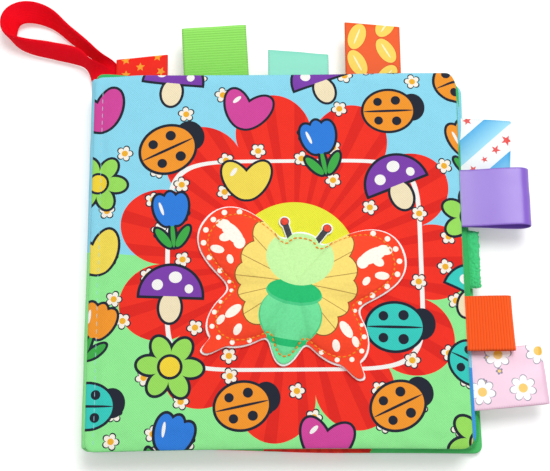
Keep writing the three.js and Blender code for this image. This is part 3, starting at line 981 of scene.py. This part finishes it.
# ribbon tags: slant makes one side longer (the left of a top tag, the upper side of a fore-edge tag)
ribbon = {"root": 5 * mm, "cloth": 0.42 * mm, "plyGap": 0.15 * mm, "nose": 2.4 * mm, "open": (0, 0.75),
          "across": 26, "smoothSteps": 120, "lineSteps": 40, "noseSteps": 20,
          "ribSteps": 7, "ribRise": 0.32 * mm, "ribEnd": 0.9, "ribShade": 0.19,
          "wave": 0.25 * mm, "waveAcross": 1.3, "waveAlong": 5, "waveSeed": 90,
          "sheen": 0.05, "streak": (300, 4000, 0), "streakClouds": (1, 2, 0.5), "streakDark": 0.94,
          "streakShade": 0.12, "shade": 0.93,
          "selvedge": 0.9 * mm, "edgePitch": 1.0 * mm, "edgeShade": -0.09, "edgeRise": 1.2, "weft": 0.32 * mm,
          "bump": 0.18, "bumpDepth": 0.05 * mm}
finishes = {"satin": {"gloss": 0.42, "shine": 0.42}, "ribbed": {"gloss": 0.62, "shine": clothShine}}
ribbons = [
    {"node": "tag_red_stars", "edge": "top", "width": 22.5 * mm, "slant": -1.2 * mm, "finish": "satin",
     "colour": "f8220f", "shine": 0.12,
     "figures": [{"colour": "f9a32c", "cell": (7.4 * mm, 6.8 * mm), "size": 2.1 * mm, "depth": 0.45,
                  "scatter": 0.25, "twist": 2}]},
    {"node": "tag_green_ribbed", "edge": "top", "width": 28 * mm, "turn": 3, "finish": "ribbed",
     "colour": "93e064", "rib": 1.15 * mm, "loop": 3 * mm, "nose": 3 * mm},
    {"node": "tag_mint_satin", "edge": "top", "width": 26 * mm, "slant": 1.3 * mm, "finish": "satin",
     "colour": "84dfc4"},
    {"node": "tag_orange_printed", "edge": "top", "width": 24 * mm, "slant": 1.2 * mm, "finish": "satin",
     "colour": "f35c1e", "shine": 0.16,
     "figures": [{"colour": "fbd55a", "cell": (12.5 * mm, 12 * mm), "size": 3.6 * mm, "points": 2, "depth": 1,
                  "petal": 1, "stretch": 1.7, "heart": "fdf3c8", "core": 0.62, "slim": 6, "twist": 2.6,
                  "line": 0.3 * mm, "outline": "e0501a"}]},
    {"node": "tag_blue_striped", "edge": "fore", "width": 25 * mm, "turn": -4, "finish": "satin",
     "colour": "f6fafc", "stripe": ("26aae8", "98def6"),
     "band": {"lean": -45, "pitch": 17.7 * mm, "share": 0.5, "slide": 2.6 * mm,
              "small": 1.5 * mm, "grow": 1.25 * mm, "seed": 2,
              "stars": {"colour": "e8342f", "cell": (6.6 * mm, 17.7 * mm), "depth": 0.42, "drop": 0}}},
    {"node": "tag_purple_satin", "edge": "fore", "width": 25 * mm, "finish": "satin", "colour": "875bd2",
     "open": (-0.12, 1), "nose": 4.4 * mm, "gloss": 0.36, "shine": 0.9},
    {"node": "tag_orange_ribbed", "edge": "fore", "width": 22.5 * mm, "slant": -0.5 * mm, "finish": "ribbed",
     "colour": "fb5a12", "rib": 1.16 * mm, "loop": 3 * mm, "nose": 3 * mm},
    {"node": "tag_pink_printed", "edge": "fore", "width": 24.5 * mm, "turn": 5, "finish": "satin",
     "colour": "f3c9e0", "shine": 0.9, "gloss": 0.32, "loop": 2.6 * mm,
     "figures": [{"colour": "6a5f86", "cell": (8.7 * mm, 9 * mm), "size": 1.5 * mm, "petal": 1,
                  "heart": "f4c840", "core": 0.45, "twist": 6, "scatter": 0.5, "share": 0.6},
                 {"colour": "fdfcfd", "cell": (14.5 * mm, 16.5 * mm), "size": 5.2 * mm, "points": 7,
                  "depth": 0.55, "petal": 1, "heart": "f4c030", "core": 0.36, "line": 0.4 * mm,
                  "outline": "6d6a80", "twist": 6}]},
]


def bodyOf(node):
    groups = frame["record"]["behaviour"]["bodies"]
    return next(body for body, members in groups.items() if node in members)


# the folded ribbon seen from its side: one ply out from the seam, a round nose and the other ply back
def ribbonLine(length, loop, opening, nose):
    ply = (ribbon["cloth"] + ribbon["plyGap"]) / 2
    half = max((loop - ribbon["cloth"]) / 2, ply)
    start = -length / 2
    seam = start + ribbon["root"]
    bend = length / 2 - nose - ribbon["cloth"] / 2
    upper = []
    for step in range(ribbon["lineSteps"] + 1):
        x = start + step / ribbon["lineSteps"] * (bend - start)
        share = (x - seam) / (bend - seam)
        upper.append(Vector((x, ply + (half - ply) * smooth(*opening, share))))
    for step in range(1, ribbon["noseSteps"] + 1):
        angle = pi / 2 * (1 - step / ribbon["noseSteps"])
        upper.append(Vector((bend + nose * cos(angle), half * sin(angle))))
    return upper + [Vector((p.x, -p.y)) for p in reversed(upper[:-1])]


def sideNormals(spots):
    normals = []
    for i in range(len(spots)):
        run = (spots[min(i + 1, len(spots) - 1)] - spots[max(i - 1, 0)]).normalized()
        normals.append(Vector((-run.y, run.x)))
    return normals


# slanted bands, shaded across the colour and with a row of stars on the white
def paintBands(place, tag):
    band = tag["band"]
    leaning = turnFlat(place, radians(band["lean"]))
    along, across, _ = split(leaning)
    share = calc("FRACT", calc("DIVIDE", across, band["pitch"]))
    tint = put("MapRange", share, band["share"], 1, 0, 1)
    striped = over(tint, *map(rgb, tag["stripe"]))
    colour = over(moreThan(share, band["share"]), rgb(tag["colour"]), striped)
    lowered = vec("ADD", leaning, (band["slide"], band["pitch"] * (0.5 - band["share"] / 2), 0))
    run = 2 * band["stars"]["cell"][0]
    swell = calc("DIVIDE", calc("PINGPONG", calc("ADD", along, run), run), run)
    size = timesPlus(swell, band["grow"], band["small"])
    return paintFigures(lowered, colour, {**band["stars"], "size": size}, band["seed"])


def ribbonMaterial(name, tag, length):
    look = {**finishes[tag["finish"]], **tag}
    material, shader, uv = newMaterial(name, look["gloss"], ribbon["sheen"], look["shine"], "UV")
    place = vec("MULTIPLY", uv, (tag["width"], length, 0))
    _, y, _ = split(place)
    streak = clouds(vec("MULTIPLY", place, ribbon["streak"]), *ribbon["streakClouds"])
    plain = rgb(tag["colour"])
    colour = over(streak, plain, (*[c * ribbon["streakDark"] for c in plain[:3]], 1))
    if "band" in tag:
        colour = paintBands(place, tag)
    for seed, figure in enumerate(tag.get("figures", [])):
        colour = paintFigures(place, colour, figure, seed)
    edge = calc("PINGPONG", split(uv)[0], 0.5)
    rim = lessThan(edge, ribbon["selvedge"] / tag["width"])
    knot = moreThan(sine(y, tau / ribbon["edgePitch"]), 0)
    picot = times(rim, knot)
    shade = timesPlus(streak, ribbon["streakShade"], ribbon["shade"])
    shade = timesPlus(picot, ribbon["edgeShade"], shade)
    if "rib" in tag:
        # the grooves between the ribs are painted darker: a painted shade
        groove = sine(y, tau / tag["rib"])
        shade = timesPlus(groove, ribbon["ribShade"], shade)
    coloured(shader, shaded(colour, shade))
    weft = sine(y, tau / ribbon["weft"])
    bumped(shader, timesPlus(picot, ribbon["edgeRise"], calc("ADD", weft, streak)), ribbon)
    return material


def makeRibbon(tag):
    low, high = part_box(tag["node"])
    size, middle = high - low, (high + low) / 2
    onTop, ribbed = tag["edge"] == "top", tag["finish"] == "ribbed"
    turn = radians(tag.get("turn", 0))
    length = ((size.y if onTop else size.x) - tag["width"] * sin(abs(turn))) / cos(turn)
    opening, nose = tag.get("open", ribbon["open"]), tag.get("nose", ribbon["nose"])
    line = ribbonLine(length, tag.get("loop", size.z), opening, nose)
    whole = evenSteps(line, 1)[1]
    steps = round(whole / tag["rib"]) * ribbon["ribSteps"] if ribbed else ribbon["smoothSteps"]
    spots, _ = evenSteps(line, steps)
    normals = sideNormals(spots)
    seat = Matrix.Translation(middle) @ turnZ(turn + (pi / 2 if onTop else 0))
    seam = ribbon["root"] - length / 2
    seed = middle.x * ribbon["waveSeed"]
    piece = newGrid(tag["node"].replace("tag_", "ribbon_"), ribbon["across"], steps)
    for vertex in piece.data.vertices:
        side, step = vertex.co.x, round((vertex.co.y + 1) / 2 * steps)
        out = max(0, (spots[step].x - seam) / (length - ribbon["root"]))
        wave = noise.noise(Vector((side * ribbon["waveAcross"], step / steps * ribbon["waveAlong"], seed)))
        lift = ribbon["wave"] * out * wave
        if ribbed:
            crest = -cos(tau * step / ribbon["ribSteps"]) * smooth(1, ribbon["ribEnd"], abs(side))
            lift += ribbon["ribRise"] / 2 * crest
        here = spots[step] + normals[step] * lift
        here.x += tag.get("slant", 0) * side * out
        vertex.co = seat @ Vector((here.x, side * tag["width"] / 2, here.y))
    addModifier(piece, "SOLIDIFY", thickness=ribbon["cloth"], offset=0)
    if ribbed:
        shadeSmooth(piece)
    else:
        refine(piece)
    dress(piece, tag["node"], ribbonMaterial(piece.name, tag, whole))
    body = bodyOf(tag["node"])
    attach(piece, body)
    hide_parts(tag["node"])


for tag in ribbons:
    makeRibbon(tag)
print("ribbon tags sewn in")


# plush tab: slim in the seam, rounded at its sides and end, with tufts all over
plush = {"node": "tag_green_plush", "root": 5 * mm, "across": 90, "along": 34,
         "slim": 0.35, "swellFrom": 0.8, "swellTo": 1.25, "sideRound": 14, "endRound": (0.72, 1.02),
         "endThin": 0.9, "thinnest": 0.12, "taper": 0.04, "taperFrom": 0.7,
         "loop": 0.5 * mm, "grain": 0.75 * mm, "fineGrain": 0.3 * mm, "fine": 0.5, "loopTo": 1.3,
         "endRow": 0.95, "sideRow": 0.97, "sideOut": 0.8,
         "colour": "4cdc8a", "deep": "2ab067", "roughness": 0.95, "sheen": 0.35, "pile": 900, "bump": 0.6,
         "bumpDepth": 0.3 * mm, "fill": 0.5}


def makePlush():
    low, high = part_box(plush["node"])
    size, middle = high - low, (high + low) / 2
    piece = newGrid("plush_tab", plush["along"], plush["across"])
    closeToPad(piece)
    seam = plush["root"] / size.x
    for vertex in piece.data.vertices:
        u, w, layer = vertex.co
        share = (u + 1) / 2
        full = smooth(seam * plush["swellFrom"], seam * plush["swellTo"], share)
        swell = plush["slim"] + (1 - plush["slim"]) * full
        ending = 1 - smooth(*plush["endRound"], share) ** 2 * plush["endThin"]
        rounding = (1 - abs(w) ** plush["sideRound"]) * ending
        narrow = 1 - plush["taper"] * smooth(plush["taperFrom"], 1, share)
        here = Vector((low.x + share * size.x, middle.y + w * size.y / 2 * narrow,
                       middle.z + layer * size.z / 2 * swell * max(rounding, plush["thinnest"])))
        tuft = noise.noise(here / plush["grain"]) + plush["fine"] * noise.noise(here / plush["fineGrain"])
        grow = plush["loop"] * tuft * smooth(seam, seam * plush["loopTo"], share)
        ahead = plush["sideOut"] if share > plush["endRow"] else 0
        aside = copysign(plush["sideOut"], w) if abs(w) > plush["sideRow"] else 0
        vertex.co = here + Vector((ahead, aside, layer)).normalized() * grow
    refine(piece)
    dress(piece, plush["node"], napMaterial("terryPlush", plush))
    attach(piece, bodyOf(plush["node"]))
    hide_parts(plush["node"])


makePlush()


# wrist strap: a knitted tape in a loop, flat at its sewn root and rolled onto its lower edge further out
strap = {"inX": 6.5 * mm, "outY": 0.5 * mm, "angle": 148, "around": 24, "along": 180, "weld": 0.01 * mm,
         "width": 10 * mm, "thin": 0.8 * mm, "thick": 1.9 * mm, "thinRun": (0.06, 0.2),
         "edgeRound": 0.55, "faceRound": 0.8, "curl": 0.35 * mm, "curlMiddle": 0.4,
         "length": 56 * mm, "spread": 12 * mm, "ply": 0.475 * mm, "rise": 0.9 * mm, "flat": 1 * mm,
         "rolled": 16 * mm, "facing": 147, "dip": 54, "lean": 24, "leanPower": 6,
         "wale": 0.9 * mm, "course": 0.75 * mm, "courseRise": 0.45,
         "colour": "f40616", "bright": "fb1028", "deep": "c60a18", "deepShare": 0.14, "deepBy": -0.12,
         "cloud": 220, "roughness": 0.85, "shine": 0.06, "bump": 0.4, "bumpDepth": 0.15 * mm}
# shares of the length and spread: out along the far strand, back along the near one
strapRoute = [(0.01, -0.2), (0.1, -0.32), (0.25, -0.6), (0.53, -0.82), (0.75, -0.96), (0.93, -0.71),
              (1, -0.2), (0.93, 0.38), (0.8, 0.45), (0.56, 0.08), (0.36, -0.2), (0.23, -0.12), (0.1, 0.02),
              (0.01, 0.12)]


def strapLine():
    points = []
    for i, (along, across) in enumerate(strapRoute):
        u = along * strap["length"]
        lift = -strap["ply"] * cos(pi * i / (len(strapRoute) - 1))
        rise = strap["rise"] * smooth(0, strap["rolled"], u)
        points.append(Vector((u, across * strap["spread"], rise + lift)))
    return curveThrough(points)


def strapAcross(here, run, share):
    dip = radians(strap["dip"])
    rolled = atAngle(radians(strap["facing"]), cos(dip), -sin(dip))
    across = Vector((0, 1, 0)).lerp(rolled, smooth(strap["flat"], strap["rolled"], here.x))
    across = (across - run * across.dot(run)).normalized()
    lean = radians(strap["lean"]) * sin(pi * share) ** strap["leanPower"]
    return across * cos(lean) + run.cross(across) * sin(lean)


# a power below 1 makes the tape's section fuller than an ellipse
def signedPower(value, power):
    return copysign(abs(value) ** power, value)


# the knit's colour: a random lighter red, with the deep red over it evenly and more in the hollows between
# loops, a painted shade
def knitMaterial(whole):
    material, shader, uv = newMaterial("strapKnit", strap["roughness"], shine=strap["shine"], coordinate="UV")
    place = vec("MULTIPLY", uv, (2 * strap["width"], whole, 0))
    x, y, _ = split(place)
    wale = calc("PINGPONG", x, strap["wale"] / 2)
    row = sine(calc("ADD", y, wale), tau / strap["course"])
    ridge = sine(wale, tau / strap["wale"])
    height = timesPlus(row, strap["courseRise"], ridge)
    colour = over(clouds(place, strap["cloud"]), rgb(strap["colour"]), rgb(strap["bright"]))
    deep = timesPlus(height, strap["deepBy"], strap["deepShare"])
    coloured(shader, over(deep, colour, rgb(strap["deep"])))
    bumped(shader, height, strap)
    return material


def makeStrap():
    back, above = panelSizes(panels[0]), panelSizes(panels[1])
    steps = strap["along"]
    spots, whole = evenSteps(strapLine(), steps)
    seat = Matrix.Translation((back["spine"] + strap["inX"], back["half"] + strap["outY"],
                               (back["middle"] + above["middle"]) / 2))
    seat = seat @ turnZ(radians(strap["angle"]))
    piece = newGrid("wrist_strap_loop", strap["around"], steps)
    for vertex in piece.data.vertices:
        angle, step = vertex.co.x * pi, round((vertex.co.y + 1) / 2 * steps)
        share, here = step / steps, spots[step]
        run = (spots[min(step + 1, steps)] - spots[max(step - 1, 0)]).normalized()
        across = strapAcross(here, run, share)
        normal = run.cross(across).normalized()
        free = smooth(*strap["thinRun"], min(share, 1 - share))
        thick = strap["thin"] + (strap["thick"] - strap["thin"]) * free
        wide = signedPower(cos(angle), strap["edgeRound"])
        high = signedPower(sin(angle), strap["faceRound"])
        curl = strap["curl"] * free * (wide * wide - strap["curlMiddle"])
        vertex.co = seat @ (here + across * (wide * strap["width"] / 2) + normal * (high * thick / 2 + curl))
    editAll(piece)
    bpy.ops.mesh.remove_doubles(threshold=strap["weld"])
    bpy.ops.mesh.fill_holes(sides=0)
    leaveEdit()
    refine(piece)
    dress(piece, "strap_knit", knitMaterial(whole))
    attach(piece, "back_cover")
    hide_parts("wrist_strap")


makeStrap()
print("plush tab and wrist strap ready")


# butterfly
fly = {"x": 4.4 * mm, "y": -14 * mm, "turn": -10, "body": 14.5 * mm, "around": 360, "cells": 72,
       "puff": 4.6 * mm, "puffRound": 0.62, "faceCloth": 0.9 * mm, "sewnFrom": 0.97, "fill": 0.7,
       "pressure": 3, "slack": 0.02, "cap": 1 * mm, "sink": 0.08 * mm, "frames": 16,
       "grow": 0.9 * mm, "cutWave": 0.12 * mm, "cutWaves": 17, "feltRise": 0.25 * mm, "feltBevel": 0.35 * mm,
       "stitchAt": 0.89, "stitchOut": 1.017, "stitchRise": 0.15 * mm, "stitchStep": 2.1 * mm,
       "stitchLong": 1.6 * mm, "thread": 0.4 * mm, "threadColours": ("f7981e", "c84a0c"), "lineSteps": 720}
# wings, head and body as lobes around the middle; a rounder one has a broader end
flyLobes = [
    {"angle": 27.5, "reach": 31.5 * mm, "spread": 46, "round": 1.3},
    {"angle": 152.5, "reach": 31.5 * mm, "spread": 46, "round": 1.3},
    {"angle": -40, "reach": 25.5 * mm, "spread": 50, "round": 1},
    {"angle": -140, "reach": 25.5 * mm, "spread": 50, "round": 1},
    {"angle": 90, "reach": 7.6 * mm, "spread": 31, "round": 2},
    {"angle": -90, "reach": 18 * mm, "spread": 24, "round": 1},
]
flyTails = [{"angle": angle, "reach": 7 * mm, "spread": 5, "round": 1.8} for angle in (-46, -134)]
flySeat = Matrix.Translation((fly["x"], fly["y"], 0)) @ turnZ(radians(fly["turn"]))


def flyOutline(angle, tails=flyTails):
    reach = fly["body"]
    for lobe in flyLobes + tails:
        middle = radians(lobe["angle"])
        away = abs(atan2(sin(angle - middle), cos(angle - middle)))
        share = away / radians(lobe["spread"])
        if share < 1:
            reach += lobe["reach"] * (1 + cos(pi * share ** lobe["round"])) / 2
    return reach


# the seam keeps the two tails outside the stuffed part
def flySeam(angle):
    return fly["stitchAt"] * flyOutline(angle, [])


def flyPuff(share):
    return fly["puff"] * max(0, 1 - share * share) ** fly["puffRound"]


# a square grid's place read as polar: share of the reach, and angle
def polar(x, y):
    share = max(abs(x), abs(y))
    if share == 0:
        return 0, 0
    if abs(x) >= abs(y):
        return share, pi / 4 * y / x + (0 if x > 0 else pi)
    return share, pi / 2 - pi / 4 * x / y + (0 if y > 0 else pi)


plate = {"bevelSteps": 3, "smoothAngle": 50}


# a flat plate cut to an outline
def outlinePlate(name, points, low, high, bevel):
    deselect()
    bpy.ops.mesh.primitive_circle_add(vertices=len(points), radius=1, fill_type="NGON")
    piece = named(name)
    for vertex, point in zip(piece.data.vertices, points):
        vertex.co = (point[0], point[1], low)
    editAll(piece)
    bpy.ops.mesh.extrude_region_move(TRANSFORM_OT_translate={"value": (0, 0, high - low)})
    leaveEdit()
    addModifier(piece, "BEVEL", width=bevel, segments=plate["bevelSteps"], limit_method="ANGLE")
    pick(piece)
    bpy.ops.object.shade_smooth_by_angle(angle=radians(plate["smoothAngle"]))
    return piece


felt = {"roughness": 0.95, "sheen": 0.3, "pile": 700, "bump": 0.5, "bumpDepth": 0.2 * mm}
paleColours = {"colour": "ffffff", "deep": "e9e7e0"}


def makeFelt():
    low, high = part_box("butterfly_backing_felt")
    points = []
    for step in range(fly["around"]):
        angle = tau * step / fly["around"]
        reach = flyOutline(angle) + fly["grow"] + fly["cutWave"] * sin(fly["cutWaves"] * angle)
        points.append(flySeat @ atAngle(angle, reach))
    piece = outlinePlate("butterfly_felt", points, low.z, high.z + fly["feltRise"], fly["feltBevel"])
    dress(piece, "white_felt", napMaterial("whiteFelt", {**felt, **paleColours}))
    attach(piece, "front_cover")
    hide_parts("butterfly_backing_felt")


# the print, in millimetres from the middle of the butterfly: dots as first angle, step, count, inset and size
wings = {"roughness": 0.9, "sheen": 0.3, "pile": 1100, "bump": 0.35, "bumpDepth": 0.12 * mm,
         "orange": "ff4c2a", "deep": "ea3419", "deepen": 0.01, "yellow": "f7dc74", "cream": "fdf6ea",
         "line": "8a5a2a", "green": "70e19b", "band": "24bd70", "shade": "4cca86", "head": "c4f2a4",
         "rim": 0.45, "folds": 9, "creaseWidth": 0.18, "crease": 0.7,
         "dots": [(2, 7, 7, 2.2, 1.15), (-6, -8, 3, 1.5, 0.8), (-28, -8, 5, 1.9, 1)],
         "patches": [((29, 17), (6.5, 2.8), 40), ((33.5, 20.5), (3.2, 2.2), 10),
                     ((25.5, 13.5), (2.8, 2.4), 70), ((31.5, 15), (2.6, 1.9), -20),
                     ((34, 9.5), (3, 1.6), 10), ((28, 6), (2, 1.3), 60), ((23, -15), (3.8, 1.9), -45),
                     ((27.5, -19), (2.2, 1.4), -60), ((20, -22), (2.4, 1.5), -70)],
         "frill": [((7, 1), (13, 15), 0), ((14.5, 16.5), (5.2, 8.5), -28), ((17, 8.5), (6.6, 6.6), 0),
                   ((19, 1), (5.8, 5.2), 0), ((16.5, -6), (6, 4.8), 0), ((13.5, -13), (5.6, 5.8), 0)],
         "body": [("shade", (0, -13.4), (12.8, 11.4)), ("green", (0, -13), (12.2, 11)),
                  ("green", (0, -24), (7, 12)), ("band", (0, -22.6), (8.2, 3)),
                  ("green", (0, -19.4), (10, 3.4)), ("shade", (0, -4.2), (11.4, 5)),
                  ("band", (0, -3.4), (11, 4.6)), ("head", (0, 11.2), (13.8, 12.2))]}


def paintWings(place):
    local = flatten(put("Mapping", place, (fly["x"], fly["y"], 0), (0, 0, radians(fly["turn"])), (mm, mm, 1),
                        vector_type="TEXTURE"))
    x, y, _ = split(local)
    aside = calc("ABSOLUTE", x)
    mirrored = put("CombineXYZ", aside, y, 0)
    far = vec("LENGTH", mirrored)
    colour = over(times(far, wings["deepen"]), rgb(wings["orange"]), rgb(wings["deep"]))
    for first, step, count, inset, size in wings["dots"]:
        for i in range(count):
            angle = radians(first + step * i)
            centre = atAngle(angle, flyOutline(angle, []) / mm - inset)[:2]
            colour = spot(mirrored, colour, rgb(wings["cream"]), centre, (size, size))
    for form in wings["patches"]:
        colour = spot(mirrored, colour, rgb(wings["cream"]), *form)
    for centre, size, turn in wings["frill"]:
        colour = spot(mirrored, colour, rgb(wings["line"]), centre, [s + wings["rim"] for s in size], turn)
    fold = sine(calc("ARCTAN2", y, aside), wings["folds"])
    width = wings["creaseWidth"] * wings["folds"]
    crease = lessThan(times(calc("ABSOLUTE", fold), far), width)
    cloth = over(times(crease, wings["crease"]), rgb(wings["yellow"]), rgb(wings["line"]))
    for form in wings["frill"]:
        colour = spot(mirrored, colour, cloth, *form)
    for fill, *form in wings["body"]:
        colour = spot(local, colour, rgb(wings[fill]), *form)
    return colour


def makeFace():
    low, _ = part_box("butterfly_face")
    piece = newGrid("butterfly_face_pad", fly["cells"], fly["cells"])
    closeToPad(piece)
    sewn = []
    for vertex in piece.data.vertices:
        x, y, layer = vertex.co
        share, angle = polar(x, y)
        reach = share * flyOutline(angle)
        inside = reach / flySeam(angle)
        top = fly["faceCloth"] + flyPuff(inside)
        z = low.z + (top if layer > onEdge else fly["faceCloth"] * (layer + 1) / 2)
        vertex.co = flySeat @ atAngle(angle, reach, z)
        if layer < onEdge or inside > fly["sewnFrom"]:
            sewn.append(vertex.index)
    piece.vertex_groups.new(name="sewn").add(sewn, 1, "REPLACE")
    puff(piece, fly)
    refine(piece)
    dress(piece, "butterfly_plush", napMaterial("butterflyVelour", wings, paintWings))
    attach(piece, "front_cover")
    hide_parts("butterfly_face")
    return low.z + fly["faceCloth"]


def stitchWings(height):
    line = []
    for step in range(fly["lineSteps"] + 1):
        angle = tau * step / fly["lineSteps"]
        line.append(atAngle(angle, fly["stitchOut"] * flySeam(angle), height + fly["stitchRise"]))
    count = round(evenSteps(line, 1)[1] / fly["stitchStep"])
    spots, _ = evenSteps(line, count)
    size = Matrix.Diagonal((fly["stitchLong"] / 2, fly["thread"], fly["thread"], 1))
    places = []
    for step in range(count):
        run = spots[step + 1] - spots[step - 1 if step else count - 1]
        turn = turnZ(atan2(run.y, run.x))
        places.append(flySeat @ Matrix.Translation(spots[step]) @ turn @ size)
    orangeThread = threadMaterial("orangeThread", *fly["threadColours"])
    makeStitches("butterfly_stitches", places, "butterfly_plush", orangeThread, "front_cover")


# antennae: a pale felt, a dark stem on it and a red tip on top
antenna = {"splay": 14, "lean": 28, "width": 3.2 * mm, "length": 9.6 * mm, "knob": 2.4 * mm, "print": 0.75,
           "dot": 1.5 * mm, "layer": 0.4 * mm, "sink": 0.1 * mm, "bevel": 0.15 * mm, "steps": 24,
           "felt": paleColours, "stem": {"colour": "4a4a52", "deep": "24242a"},
           "tip": {"colour": "f0503c", "deep": "c8301f"}}


def antennaArc(radius, start, turn, count):
    middle = Vector((0, antenna["length"], 0))
    return [middle + atAngle(start + turn * step / antenna["steps"], radius) for step in range(count)]


def antennaOutline(share):
    half, knob = share * antenna["width"] / 2, share * antenna["knob"]
    neck = asin(half / knob)
    return [Vector((-half, 0, 0)), Vector((half, 0, 0)),
            *antennaArc(knob, neck - pi / 2, tau - 2 * neck, antenna["steps"] + 1)]


def makeAntenna(name, side, materials):
    low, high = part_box(name)
    angle = pi / 2 - side * radians(antenna["splay"])
    seat = flySeat @ Matrix.Translation(atAngle(angle, flyOutline(angle) - antenna["width"]))
    seat = seat @ turnZ(-side * radians(antenna["lean"]))
    levels = [low.z, high.z, high.z + antenna["layer"], high.z + 2 * antenna["layer"]]
    outlines = {"felt": antennaOutline(1), "stem": antennaOutline(antenna["print"]),
                "tip": antennaArc(antenna["dot"], 0, tau, antenna["steps"])}
    for (label, points), under, top in zip(outlines.items(), levels, levels[1:]):
        places = [seat @ point for point in points]
        piece = outlinePlate(name + "_" + label, places, under - antenna["sink"], top, antenna["bevel"])
        dress(piece, "antenna_felt", materials[label])
        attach(piece, "front_cover")
        if label == "felt":
            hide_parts(name)


makeFelt()
stitchWings(makeFace())
antennaFelts = {label: napMaterial(name, {**felt, **antenna[label]}) for label, name in [
    ("felt", "antennaFelt"), ("stem", "stemFelt"), ("tip", "tipFelt")]}
for name, side in [("antenna_left", -1), ("antenna_right", 1)]:
    makeAntenna(name, side, antennaFelts)
print("butterfly sewn on the cover")


# filling and sound makers inside the cloth
inner = {
    "foam": {"name": "paddingFoam", "roughness": 0.95, "sheen": 0.1, "colours": ("f7f3e4", "dcd6c2"),
             "cells": 900, "bump": 0.4, "bumpDepth": 0.2 * mm},
    "film": {"name": "crinkleFilm", "roughness": 0.2, "sheen": 0, "colours": ("eef2f4", "cfd7dc"),
             "clouds": (90, 5, 0.65), "bump": 0.6, "bumpDepth": 0.4 * mm},
    "squeaker": {"name": "squeakerPlastic", "roughness": 0.5, "sheen": 0, "colours": ("f4f3ee", "e3e1d8"),
                 "clouds": (400, 2, 0.5)},
}
fibre = {**felt, "colour": "ffffff", "deep": "e8e8e4", "pile": 300}


def innerMaterial(look):
    material, shader, place = newMaterial(look["name"], look["roughness"], look["sheen"])
    if "cells" in look:
        grain = put("TexVoronoi", place, None, look["cells"])
    else:
        grain = clouds(place, *look["clouds"])
    coloured(shader, over(grain, *map(rgb, look["colours"])))
    if "bump" in look:
        bumped(shader, grain, look)
    return material


innerMaterials = {word: innerMaterial(look) for word, look in inner.items()}
innerMaterials["stuffing"] = napMaterial("fibreFill", fibre)
for name, node in frame["nodes"].items():
    for word, material in innerMaterials.items():
        if word in name:
            node.data.materials.clear()
            node.data.materials.append(material)
print("inner pieces finished")
